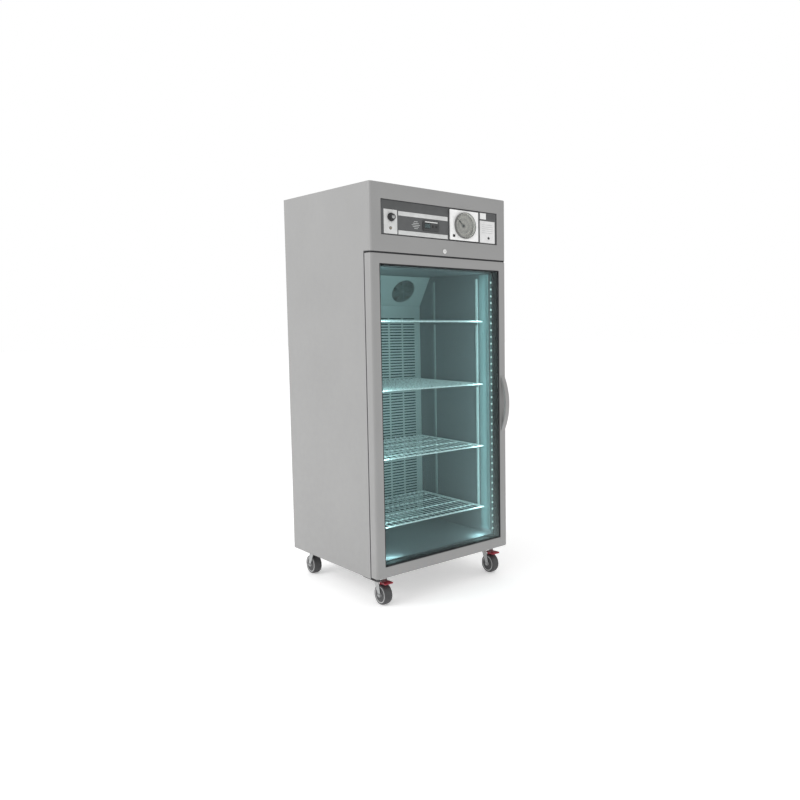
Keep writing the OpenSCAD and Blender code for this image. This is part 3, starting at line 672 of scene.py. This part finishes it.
def make_header_gap_shade():
    """Black strip in the rubber finish, in the gap over the door, round the front corners to the
    shell: painted shade that darkens the gap.
    """
    bm = bmesh.new()
    inset, width, steps = 2 * MM, 6 * MM, 8
    z0, z1 = DOOR_HI.z + 0.8 * MM, HEADER_Z - 0.1 * MM
    outer, inner = [], []
    for side in (-1, 1):
        arc_outer, arc_inner = [], []
        for k in range(steps + 1):
            angle = math.radians(90) * k / steps
            corner = Vector((side * (HALF_W - EDGE_R), FRONT_Y + EDGE_R, 0))
            out = Vector((side * math.cos(angle), -math.sin(angle), 0))
            arc_outer.append(corner + out * (EDGE_R - inset))
            arc_inner.append(corner + out * (EDGE_R - inset - width))
        arc_outer.insert(0, Vector((arc_outer[0].x, SHELL_Y - 4 * MM, 0)))
        arc_inner.insert(0, Vector((arc_inner[0].x, SHELL_Y - 4 * MM, 0)))
        if side > 0:
            arc_outer.reverse()
            arc_inner.reverse()
        outer += arc_outer
        inner += arc_inner
    rings = [[bm.verts.new((p.x, p.y, z)) for p in path] for path, z in
             ((outer, z0), (outer, z1), (inner, z1), (inner, z0))]
    count = len(outer)
    for a in range(4):
        b = (a + 1) % 4
        for i in range(count - 1):
            bm.faces.new((rings[a][i], rings[a][i + 1], rings[b][i + 1], rings[b][i]))
    for i in (0, count - 1):
        bm.faces.new([ring[i] for ring in rings])
    place(finish_mesh(bm, "header_gap_shade"), "cabinet", "rubber_black")


def make_back_louvres():
    """Bent blades behind the slots in the back panel."""
    bm = bmesh.new()
    rows, pitch, blade = 4, 18 * MM, 12 * MM
    middle, half = 150 * MM, 89 * MM
    for row in range(rows):
        z = TOP_Z - 150 * MM + row * pitch
        for side in (-1, 1):
            x0, x1 = side * middle - half, side * middle + half
            low_z = z + 9 * MM - blade
            outline = [(BACK_Y - 1.1 * MM, z + 8 * MM), (BACK_Y - 1.1 * MM, z + 9 * MM),
                       (BACK_Y - 9 * MM, low_z), (BACK_Y - 10 * MM, low_z)]
            left = [bm.verts.new((x0, y, h)) for y, h in outline]
            right = [bm.verts.new((x1, y, h)) for y, h in outline]
            bm.faces.new(left)
            bm.faces.new(list(reversed(right)))
            for i in range(4):
                j = (i + 1) % 4
                bm.faces.new((left[j], left[i], right[i], right[j]))
    piece = finish_mesh(bm, "back_louvres")
    place(piece, "cabinet", "painted_grey")


def make_casing_screws():
    """Screws down both edges of the back panel, and three along its top and its foot."""
    reach, y = HALF_W - 14 * MM, BACK_Y - 1.3 * MM
    low, high = BASE_Z + 30 * MM, TOP_Z - 30 * MM
    steps = 7
    places = [(side * reach, y, low + k * (high - low) / steps) for side in (-1, 1)
              for k in range(steps + 1)]
    places += [(x, y, z) for x in (-200 * MM, 0.0, 200 * MM) for z in (low, high)]
    piece = screws("back_screws", places, (0, 1, 0), 4.2 * MM, 1.3 * MM)
    place(piece, "cabinet", "zinc", finish=SCREW_STEEL)


# ---- Header controls ----

def make_fascia():
    y = FASCIA_LO.y
    soften("fascia_panel", "fascia_sheet", 0.3 * MM, 1, "fascia")
    bm = bmesh.new()
    swept_frame(bm, OPENING_LO, OPENING_HI,
                [(0.2 * MM, y - 0.1 * MM), (3.2 * MM, y - 0.1 * MM), (3.2 * MM, y - 1.2 * MM),
                 (2.4 * MM, y - 2.0 * MM), (0.2 * MM, y - 2.0 * MM)])
    place(finish_mesh(bm, "fascia_surround"), "cabinet", "black_plastic")
    bm = bmesh.new()
    _, plate_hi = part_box("switch_plate")
    rec_lo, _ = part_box("recorder_case")
    add_box(bm, (OPENING_LO.x + 3.6 * MM, y - 0.8 * MM, plate_hi.z + 3 * MM),
            (rec_lo.x - 3 * MM, y - 0.1 * MM, OPENING_HI.z - 3.6 * MM), 0.3 * MM, 2)
    place(finish_mesh(bm, "fascia_band"), "cabinet", "fascia", finish=BAND_DARK)


def make_plates():
    soften("switch_plate", "switch_face", 0.6 * MM, 2, "pale_plate", PLATE_GREY)
    label = ruled_label("info_card", INFO_LO, INFO_HI)
    soften("info_plate", "info_face", 0.6 * MM, 2, "pale_plate", label)
    soften("trim_bars", "trim_bar_faces", 0.7 * MM, 2, "pale_plate", PLATE_GREY)
    bars_lo, bars_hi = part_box("trim_bars")
    bm = bmesh.new()
    for z in (bars_lo.z + 10 * MM, bars_hi.z - 10 * MM):
        for offset in (-4, 0, 4):
            add_box(bm, (bars_lo.x + 5 * MM, bars_lo.y - 0.12 * MM, z + offset * MM - 0.35 * MM),
                    (bars_hi.x - 5 * MM, bars_lo.y + 0.3 * MM, z + offset * MM + 0.35 * MM))
    place(finish_mesh(bm, "trim_bar_lines"), "cabinet", "pale_plate", finish=MARK_PALE)


def make_plain_badge():
    """A plain tile and strip in the badge's place, with no mark on them."""
    bm = bmesh.new()
    x0, x1 = INFO_LO.x + 2 * MM, INFO_LO.x + 42 * MM
    z0, z1 = INFO_HI.z + 8 * MM, FASCIA_HI.z - 14 * MM
    y = FASCIA_LO.y
    add_box(bm, (x0, y - 1.6 * MM, z0), (x1, y - 0.1 * MM, z1), 0.5 * MM)
    place(finish_mesh(bm, "plain_tile"), "cabinet", "pale_plate")
    bm = bmesh.new()
    add_box(bm, (x1 + 4 * MM, y - 1.2 * MM, z0 + 6 * MM), (INFO_HI.x, y - 0.1 * MM, z1 - 6 * MM),
            0.4 * MM)
    place(finish_mesh(bm, "plain_strip"), "cabinet", "fascia", finish=BAND_DARK)


def make_switch_knob():
    lo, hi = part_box("switch_knob")
    plate_lo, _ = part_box("switch_plate")
    pivot = Vector(JOINT["switch_turn"]["pos_m"])
    radius = (hi.x - lo.x) / 2
    matrix = aimed((pivot.x, plate_lo.y - 0.3 * MM, pivot.z), (0, -1, 0))
    flutes = 24

    def fluted(angle, r):
        return r * (1 + 0.018 * math.cos(flutes * angle)) if r > radius * 0.62 else r

    bm = bmesh.new()
    turned(bm, [(radius * 0.97, 0), (radius * 0.98, 3.5 * MM), (radius * 0.9, 5 * MM),
                (radius * 0.75, 6 * MM), (radius * 0.72, 17 * MM), (radius * 0.66, 19.6 * MM),
                (radius * 0.5, 20 * MM)], matrix, 96, fluted)
    add_box(bm, (pivot.x - 1.6 * MM, lo.y + 0.2 * MM, pivot.z + 4 * MM),
            (pivot.x + 1.6 * MM, lo.y + 5 * MM, pivot.z + radius * 0.6), 0.5 * MM, 2)
    turned(bm, [(4 * MM, -12 * MM), (4 * MM, 0.5 * MM)], matrix, 24)
    place(finish_mesh(bm, "knob_grip", 40), "main_switch", "black_plastic", "switch_knob")
    bm = bmesh.new()
    turned(bm, [(radius * 0.42, 19.7 * MM), (radius * 0.41, 20.7 * MM), (radius * 0.34, 21.3 * MM),
                (radius * 0.1, 21.5 * MM)], matrix, 48)
    place(finish_mesh(bm, "knob_cap", 40), "main_switch", "lock_metal", finish=FINISH["zinc"])
    bm = bmesh.new()
    marks = 7
    for i in range(marks):
        angle = math.radians(-30 + i * 40)
        turn = Matrix.Translation((pivot.x, 0, pivot.z)) @ Matrix.Rotation(angle, 4, "Y")
        before = len(bm.verts)
        add_box(bm, (-0.5 * MM, plate_lo.y - 0.15 * MM, radius + 2.5 * MM),
                (0.5 * MM, plate_lo.y + 0.2 * MM, radius + 6 * MM))
        bm.verts.ensure_lookup_table()
        bmesh.ops.transform(bm, matrix=turn, verts=bm.verts[before:])
    place(finish_mesh(bm, "knob_scale"), "cabinet", "black_plastic")


def make_pilot_lamp():
    lo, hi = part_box("pilot_lamp")
    radius = (hi.x - lo.x) / 2
    matrix = aimed(((lo.x + hi.x) / 2, hi.y, (lo.z + hi.z) / 2), (0, -1, 0))
    bm = bmesh.new()
    turned(bm, [(radius, 0), (radius, 1.0 * MM), (radius * 0.85, 1.6 * MM),
                (radius * 0.7, 1.6 * MM), (radius * 0.66, 0.8 * MM)], matrix, 48)
    place(finish_mesh(bm, "lamp_bezel", 40), "cabinet", "black_plastic")
    bm = bmesh.new()
    turned(bm, [(radius * 0.64, 0.2 * MM), (radius * 0.6, 2.4 * MM), (radius * 0.42, 3.5 * MM),
                (radius * 0.1, 4.0 * MM)], matrix, 48)
    place(finish_mesh(bm, "lamp_lens", 50), "cabinet", "lamp_lens", "pilot_lamp")


def make_controller():
    soften("controller_case", "controller_bezel", 0.5 * MM, 2, "black_plastic", CASE_DARK)
    lo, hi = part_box("controller_display")
    soften("controller_display", "display_lens", 0.2 * MM, 2, "display")
    case_lo, case_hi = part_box("controller_case")
    bm = bmesh.new()
    add_box(bm, (case_lo.x + 10 * MM, case_lo.y - 0.3 * MM, case_hi.z - 7 * MM),
            (case_hi.x - 10 * MM, case_lo.y + 0.2 * MM, case_hi.z - 2.5 * MM), 0.15 * MM, 2)
    place(finish_mesh(bm, "controller_light_bar"), "cabinet", "pale_plate")
    bm = bmesh.new()
    cell, bar, digits = 8 * MM, 0.6 * MM, 3
    y0, y1 = lo.y - 0.12 * MM, lo.y + 0.1 * MM
    z_mid = (lo.z + hi.z) / 2
    for digit in range(digits):
        x0 = lo.x + 6 * MM + digit * 10 * MM
        for z in (z_mid - cell, z_mid, z_mid + cell):
            add_box(bm, (x0 + 0.8 * MM, y0, z - bar), (x0 + 5.2 * MM, y1, z + bar))
        for x in (x0, x0 + 6 * MM):
            for z in (z_mid - cell / 2, z_mid + cell / 2):
                add_box(bm, (x - bar, y0, z - 3.2 * MM), (x + bar, y1, z + 3.2 * MM))
    place(finish_mesh(bm, "display_segments"), "cabinet", "light_dots", finish=BAR_GLOW)
    for node, name in (("button_up", "key_cap_up"), ("button_down", "key_cap_down")):
        soften(node, name, 0.9 * MM, 3, "pale_plate", KEY_DARK)


def make_level_marks():
    """A small plain pattern of bars beside the controller."""
    bm = bmesh.new()
    y = FASCIA_LO.y
    case_lo, case_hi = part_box("controller_case")
    x_mid, z_mid = case_lo.x - 40 * MM, (case_lo.z + case_hi.z) / 2 - 2 * MM
    reach, pitch = 24 * MM, 8 * MM
    for k in range(-2, 3):
        width = reach * (1 - 0.28 * abs(k))
        z = z_mid + k * pitch
        add_box(bm, (x_mid - width, y - 0.5 * MM, z - 1.1 * MM),
                (x_mid + width, y - 0.05 * MM, z + 1.1 * MM), 0.2 * MM, 1)
    place(finish_mesh(bm, "level_marks"), "cabinet", "pale_plate", finish=MARK_PALE)


def make_recorder():
    soften("recorder_case", "recorder_shell", 0.4 * MM, 1, "black_plastic")
    soften("recorder_door", "recorder_frame", 1.0 * MM, 3, "pale_plate", DOOR_WHITE)


def make_round_window():
    """Collar, sleeve and clear lens of the window that stands out of the recorder's door; the
    collar is dark as painted shade and the sleeve pale as painted light.
    """
    door_lo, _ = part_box("recorder_door")
    window_lo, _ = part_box("recorder_window")
    out = door_lo.y - window_lo.y
    matrix = aimed((CHART_MID.x, door_lo.y, CHART_MID.z), (0, -1, 0))
    outer, seat, inner, back = CHART_R + 3.2 * MM, CHART_R + 0.9 * MM, CHART_R - 0.2 * MM, -4.6 * MM
    bm = bmesh.new()
    turned_ring(bm, [(outer, 0), (outer, out - 1.2 * MM), (outer - 1 * MM, out),
                     (inner + 0.6 * MM, out), (inner, out - 0.6 * MM), (inner, back), (seat, back),
                     (seat, 0)], matrix, 96)
    place(finish_mesh(bm, "window_collar", 40), "recorder_door", "black_plastic", finish=COLLAR_SHADED)
    sleeve, lining = inner - 0.05 * MM, inner - 0.7 * MM
    bm = bmesh.new()
    turned_ring(bm, [(lining, back), (sleeve, back), (sleeve, out - 2.4 * MM),
                     (lining, out - 2.4 * MM)], matrix, 96)
    place(finish_mesh(bm, "window_sleeve", 40), "recorder_door", "black_plastic",
          finish=SLEEVE_LIT)
    rim = inner - 0.1 * MM
    bm = bmesh.new()
    turned(bm, [(rim, out - 2.2 * MM), (rim, out - 1.0 * MM), (inner * 0.8, out - 0.6 * MM),
                (inner * 0.4, out - 0.35 * MM), (1 * MM, out - 0.3 * MM)], matrix, 96)
    place(finish_mesh(bm, "window_lens", 40), "recorder_door", "clear_window", "recorder_window")


def make_recorder_works():
    """The recorder's lock, the chart's nut, and the pen, whose head follows the arm's slant."""
    soften("recorder_lock", "recorder_latch", 0.8 * MM, 2, "black_plastic")
    hub = Vector((CHART_MID.x, CHART_LO.y, CHART_MID.z))
    bm = bmesh.new()
    turned(bm, [(7 * MM, 0.0), (7 * MM, 2.2 * MM), (6 * MM, 3 * MM), (1.6 * MM, 3 * MM)],
           aimed(hub, (0, -1, 0)), 40)
    place(finish_mesh(bm, "chart_nut", 40), "chart", "black_plastic")
    dress("pen_arm", FINISH["black_plastic"])
    pen_lo, pen_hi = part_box("pen_arm")
    pivot = Vector(JOINT["pen_swing"]["pos_m"])
    arm = Vector((pen_hi.x - pivot.x, 0, pen_lo.z - pivot.z))
    along, back = arm.normalized(), Vector((0, 1, 0))
    turn = Matrix((along, back, along.cross(back))).transposed().to_4x4()
    start = Vector((pivot.x, pen_lo.y, pivot.z))
    bm = bmesh.new()
    add_box(bm, (arm.length - 27 * MM, -2.2 * MM, -3 * MM),
            (arm.length - 3 * MM, -0.1 * MM, 3 * MM), 1.0 * MM, 2)
    bmesh.ops.transform(bm, matrix=Matrix.Translation(start) @ turn, verts=bm.verts)
    place(finish_mesh(bm, "pen_head", 50), "pen", "black_plastic")


def make_small_controls():
    soften("alarm_button", "alarm_cap", 0.9 * MM, 3, "black_plastic")
    soften("door_lock", "lock_barrel", 0.8 * MM, 3, "lock_metal")


# ---- Door ----

def make_door():
    """Folded steel door ring with soft edges all round."""
    lo, hi = DOOR_LO, DOOR_HI
    glass_gap = 2.5 * MM
    side_inset = GLASS_LO.x - glass_gap - lo.x
    bm = bmesh.new()
    swept_frame(bm, lo, hi, [(0, lo.y), (0, hi.y), (side_inset, hi.y), (side_inset, lo.y)])
    for v in bm.verts:
        if abs(v.co.z - (hi.z - side_inset)) < 1e-5:
            v.co.z = GLASS_HI.z + glass_gap
        if abs(v.co.z - (lo.z + side_inset)) < 1e-5:
            v.co.z = GLASS_LO.z - glass_gap

    def on_side(edge):
        return upright(edge) and abs(middle_of(edge).x) > HALF_W - MM

    round_edges(bm, EDGE_R, 8, lambda e: on_side(e) and middle_of(e).y < lo.y + MM)
    round_edges(bm, 3 * MM, 1, lambda e: on_side(e) and middle_of(e).y > hi.y - MM)
    round_edges(bm, 1.5 * MM, 3, lambda e: sharp(e, 60))
    place(finish_mesh(bm, "door_skin", 40), "door", "painted_grey", "door_frame")


def make_door_trim():
    soften("glazing_bead", "glazing_rubber", 0.5 * MM, 2, "rubber_black")
    lo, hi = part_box("door_gasket")
    y0, y1 = lo.y, hi.y
    bellows = [(0.0, y0), (0.0, y0 + 0.5 * MM), (2.2 * MM, y0 + 0.8 * MM),
               (1.2 * MM, y0 + 1.3 * MM), (2.4 * MM, y1 - 0.5 * MM), (3.2 * MM, y1),
               (8.8 * MM, y1), (9.6 * MM, y1 - 0.5 * MM), (10.8 * MM, y0 + 1.3 * MM),
               (9.8 * MM, y0 + 0.8 * MM), (12 * MM, y0 + 0.5 * MM), (12 * MM, y0)]
    bm = bmesh.new()
    swept_frame(bm, lo, hi, bellows)
    place(finish_mesh(bm, "gasket_profile", 25), "door", "rubber_black", "door_gasket",
          finish=GASKET_GREY)
    soften("door_handle", "bow_handle", 4.5 * MM, 4, "painted_grey", smooth=50)


def make_hinges():
    soften("hinge_brackets", "hinge_plates", 0.8 * MM, 2, "zinc", HINGE_DARK)
    lo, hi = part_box("hinge_brackets")
    x = lo.x + 12.5 * MM
    places = [(x, y, BASE_Z - 4.2 * MM) for y in (hi.y - 12 * MM, hi.y - 45 * MM)]
    piece = screws("hinge_screws", places, (0, 0, -1), 4.5 * MM, 2.2 * MM)
    place(piece, "cabinet", "zinc", finish=SCREW_STEEL)


# ---- Chamber ----

def make_slot_shade_sheet():
    """Near-black wavy sheet just behind the slots of the duct panel: painted shade that darkens the
    slots.
    """
    lo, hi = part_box("duct_panel")
    bm = bmesh.new()
    columns, rows = 42, 90
    bmesh.ops.create_grid(bm, x_segments=columns, y_segments=rows, size=0.5)
    bmesh.ops.extrude_face_region(bm, geom=bm.faces[:])
    bm.verts.ensure_lookup_table()
    half = len(bm.verts) // 2
    width, height = hi.x - lo.x - 40 * MM, hi.z - lo.z - 20 * MM
    for i, v in enumerate(bm.verts):
        waves = math.sin(v.co.x * TAU * columns / 4) * math.sin(v.co.y * TAU * rows / 4)
        depth = 2.2 * MM + 0.6 * MM * waves if i < half else 4.5 * MM
        v.co = Vector((v.co.x * width, hi.y + depth, (lo.z + hi.z) / 2 + v.co.y * height))
    place(finish_mesh(bm, "slot_shade_sheet", 60), "cabinet", "foam", finish=SLOT_SHADE)


def slant_matrix(axis):
    """Local +Z points along an axis out of the slanted housing, local +Y up it."""
    up = Vector((0, 0, 1))
    up = (up - axis * up.dot(axis)).normalized()
    across = up.cross(axis)
    return Matrix((across, up, axis)).transposed().to_4x4()


def make_fan_guards():
    """Round wire guards with the screws round them, standing on the slanted housing."""
    axis = Vector(JOINT["fan_left_spin"]["axis"]).normalized()
    turn = slant_matrix(axis)
    wire, outer, rings, screw_ring, stand = 1.0 * MM, 72 * MM, 12, 79.5 * MM, 1.4 * MM
    for name in SIDES:
        centre = Vector(JOINT[f"fan_{name}_spin"]["pos_m"])
        matrix = Matrix.Translation(centre + axis * stand) @ turn
        bm = bmesh.new()
        for k in range(1, rings + 1):
            r = outer * k / rings
            tube(bm, [matrix @ round_point(r, TAU * i / 48, 0) for i in range(48)], wire, 8, True)
        for k in range(4):
            step = round_point(outer, TAU * (k + 0.5) / 8, 0)
            tube(bm, [matrix @ -step, matrix @ step], wire, 8)
        piece = finish_mesh(bm, f"guard_wires_{name}", 60)
        place(piece, "cabinet", "black_plastic", "fan_guards", finish=GUARD_GREY)
        places = [matrix @ round_point(screw_ring, TAU * (k + 0.5) / 4, -stand) for k in range(4)]
        piece = screws(f"guard_screws_{name}", places, axis, 3.5 * MM, 2 * MM)
        place(piece, "cabinet", "zinc", finish=SCREW_STEEL)


def make_lamp_cover(name, side):
    """Long frosted cover with a rounded face."""
    lo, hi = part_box("lamp_covers")
    x0, x1 = sorted((side * hi.x, side * (hi.x - 8 * MM)))
    bm = bmesh.new()
    add_box(bm, (x0, lo.y, lo.z), (x1, hi.y, hi.z))
    round_edges(bm, 5 * MM, 5, lambda e: upright(e) and abs(middle_of(e).x) < hi.x - 6 * MM)
    place(finish_mesh(bm, f"lamp_cover_{name}", 40), "cabinet", "lamp_cover", "lamp_covers")


def make_light_strip(name, side):
    """Rail in front of a cover, with its row of lenses."""
    lo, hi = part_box("light_strips")
    inner = COVER_HI.x + 0.5 * MM
    x0, x1 = sorted((side * inner, side * hi.x))
    bm = bmesh.new()
    add_box(bm, (x0, lo.y + 1.5 * MM, lo.z), (x1, hi.y, hi.z), 0.4 * MM, 2)
    place(finish_mesh(bm, f"strip_rail_{name}"), "cabinet", "light_dots", "light_strips",
          finish=RAIL_TEAL)
    lens_r = (hi.x - inner) / 2 - 0.3 * MM
    end, pitch = 20 * MM, 36 * MM
    count = int((hi.z - lo.z - 2 * end) / pitch) + 1
    bm = bmesh.new()
    for k in range(count):
        centre = (side * (inner + hi.x) / 2, lo.y + 1.6 * MM, lo.z + end + k * pitch)
        turned(bm, [(lens_r, 0), (lens_r, 0.6 * MM), (lens_r * 0.8, 1.2 * MM),
                    (lens_r * 0.4, 1.55 * MM)], aimed(centre, (0, -1, 0)), 20)
    place(finish_mesh(bm, f"strip_lenses_{name}", 50), "cabinet", "light_dots", "light_strips")


# ---- Casters ----

def make_caster(end, side):
    tag = f"{end}_{side}"
    lo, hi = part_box(f"wheel_{tag}")
    centre = Vector(JOINT[f"roll_{tag}"]["pos_m"])
    radius, half = (hi.z - lo.z) / 2, (hi.x - lo.x) / 2 - 2 * MM
    matrix = aimed(centre, (1, 0, 0))
    bm = bmesh.new()
    crown = [(radius * 0.82, -half), (radius * 0.93, -half), (radius * 0.985, -half * 0.72),
             (radius, -half * 0.35), (radius, half * 0.35), (radius * 0.985, half * 0.72),
             (radius * 0.93, half), (radius * 0.82, half)]
    turned(bm, crown, matrix, 96)
    place(finish_mesh(bm, f"tread_{tag}", 50), f"wheel_{tag}", "caster_tread", f"wheel_{tag}")
    bm = bmesh.new()
    face = half + 0.4 * MM
    disc = [(5 * MM, half + 2 * MM), (11 * MM, half + 2 * MM), (12.5 * MM, face - 3 * MM),
            (18 * MM, face - 4 * MM), (32 * MM, face - 3.5 * MM), (35 * MM, face - 0.6 * MM),
            (37 * MM, face), (radius * 0.8, face), (radius * 0.83, face - 1.2 * MM)]
    turned(bm, [(r, -h) for r, h in disc] + [(r, h) for r, h in reversed(disc)], matrix, 72)
    place(finish_mesh(bm, f"hub_{tag}", 35), f"wheel_{tag}", "caster_tread", finish=HUB_GREY)
    soften(f"fork_{tag}", f"fork_plate_{tag}", 0.7 * MM, 2, "zinc")


def make_pedal(side):
    node = f"brake_pedal_{side}"
    lo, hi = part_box(node)
    soften(node, f"pedal_{side}", 1.6 * MM, 3, "red_pedal", smooth=50)
    bm = bmesh.new()
    x_mid = (lo.x + hi.x) / 2
    ribs, pitch, reach = 5, 5.5 * MM, 18 * MM
    for k in range(ribs):
        y = lo.y + 5 * MM + k * pitch
        add_box(bm, (x_mid - reach, y, hi.z - 0.4 * MM),
                (x_mid + reach, y + 2 * MM, hi.z + 0.9 * MM), 0.4 * MM, 2)
    place(finish_mesh(bm, f"pedal_ribs_{side}", 50), f"pedal_{side}", "red_pedal")


def make_caster_plates():
    soften("caster_plates", "caster_tops", 0.8 * MM, 2, "zinc")
    places = []
    for end in ENDS:
        for side in SIDES:
            pin = Vector(JOINT[f"swivel_{end}_{side}"]["pos_m"])
            places += [(pin.x + dx * 32 * MM, pin.y + dy * 27 * MM, BASE_Z - 3.2 * MM)
                       for dx in (-1, 1) for dy in (-1, 1)]
    piece = screws("caster_bolts", places, (0, 0, -1), 5.5 * MM, 3.6 * MM)
    place(piece, "cabinet", "zinc", finish=SCREW_STEEL)


# ---- Build ----

for row in frame["record"]["subparts"]:
    dress(row["node"], FINISH[row["material_slot"]])
for node in ("duct_panel", "fan_housing"):
    dress(node, DUCT_STEEL)
dress("shelf_posts", POST_STEEL)
for node in ("fan_rotor_left", "fan_rotor_right", "fan_motors"):
    dress(node, ROTOR_GREY)

make_side_panels()
make_top_panel()
make_header_cover()
make_header_gap_shade()
make_back_louvres()
make_casing_screws()
make_fascia()
make_plates()
make_plain_badge()
make_switch_knob()
make_pilot_lamp()
make_controller()
make_level_marks()
make_recorder()
make_round_window()
make_recorder_works()
make_small_controls()
make_door()
make_door_trim()
make_hinges()
make_slot_shade_sheet()
make_fan_guards()
for name, side in zip(SIDES, (-1, 1)):
    make_lamp_cover(name, side)
    make_light_strip(name, side)
for end in ENDS:
    for side in SIDES:
        make_caster(end, side)
for side in SIDES:
    make_pedal(side)
make_caster_plates()
soften("mains_inlet", "inlet_body", 0.5 * MM, 2, "black_plastic")


# ---- Stage ----

def make_floor():
    bm = bmesh.new()
    reach = 40
    bmesh.ops.create_grid(bm, x_segments=8, y_segments=8, size=reach)
    floor = finish_mesh(bm, "floor")
    f = Finish("floor_matte", (0.9, 0.9, 0.9), 0.8)
    f.tint(f.noise(1.5, 2), 0.01)
    f.glow((1, 1, 1), 0.32)
    floor.data.materials.append(f.bump(f.noise(60, 2), 0.0002).material)


def area_light(name, where, target, size, power, colour=(1, 1, 1)):
    data = bpy.data.lights.new(name, "AREA")
    data.shape = "RECTANGLE"
    data.size, data.size_y = size
    data.energy = power
    data.color = colour
    lamp = bpy.data.objects.new(name, data)
    bpy.context.scene.collection.objects.link(lamp)
    lamp.location = where
    lamp.rotation_euler = (Vector(target) - Vector(where)).to_track_quat("-Z", "Y").to_euler()
    return lamp


def make_lights():
    world = bpy.data.worlds.new("studio")
    bpy.context.scene.world = world
    world.use_nodes = True
    tree = world.node_tree
    plain = tree.nodes["Background"]
    plain.inputs["Color"].default_value = (1, 1, 1, 1)
    plain.inputs["Strength"].default_value = 0.85
    seen = tree.nodes.new("ShaderNodeBackground")
    seen.inputs["Color"].default_value = (1, 1, 1, 1)
    seen.inputs["Strength"].default_value = 1.0
    path = tree.nodes.new("ShaderNodeLightPath")
    mix = tree.nodes.new("ShaderNodeMixShader")
    tree.links.new(path.outputs["Is Camera Ray"], mix.inputs[0])
    tree.links.new(plain.outputs[0], mix.inputs[1])
    tree.links.new(seen.outputs[0], mix.inputs[2])
    tree.links.new(mix.outputs[0], tree.nodes["World Output"].inputs["Surface"])
    area_light("key", where=(-4.2, 0.9, 3.6), target=(0, 0, 0.9), size=(2.6, 2.6), power=85)
    teal = (0.62, 0.94, 0.94)
    mid_z = 0.92
    for side in (-1, 1):
        tall = area_light(f"chamber_{side}", where=(side * 0.305, -0.322, mid_z),
                          target=(side * 0.10, 0.30, mid_z), size=(0.02, 1.36), power=1.3,
                          colour=teal)
        foot = area_light(f"foot_{side}", where=(side * 0.280, -0.304, 0.246),
                          target=(side * 0.278, -0.298, 0.2), size=(0.09, 0.02), power=0.13,
                          colour=teal)
        for lamp in (tall, foot):
            lamp.visible_camera = False


def make_camera():
    data = bpy.data.cameras.new("camera")
    data.sensor_width = 36
    data.lens = 34.417
    data.shift_x = -0.2
    data.shift_y = -0.01
    camera = bpy.data.objects.new("camera", data)
    bpy.context.scene.collection.objects.link(camera)
    camera.location = (-2.3372, -3.4513, 1.3540)
    dip, heading = 5.097, -45.949
    camera.rotation_euler = Euler((math.radians(90 - dip), 0, math.radians(heading)))
    bpy.context.scene.camera = camera


make_floor()
make_lights()
make_camera()
bpy.context.scene.view_settings.view_transform = "Standard"
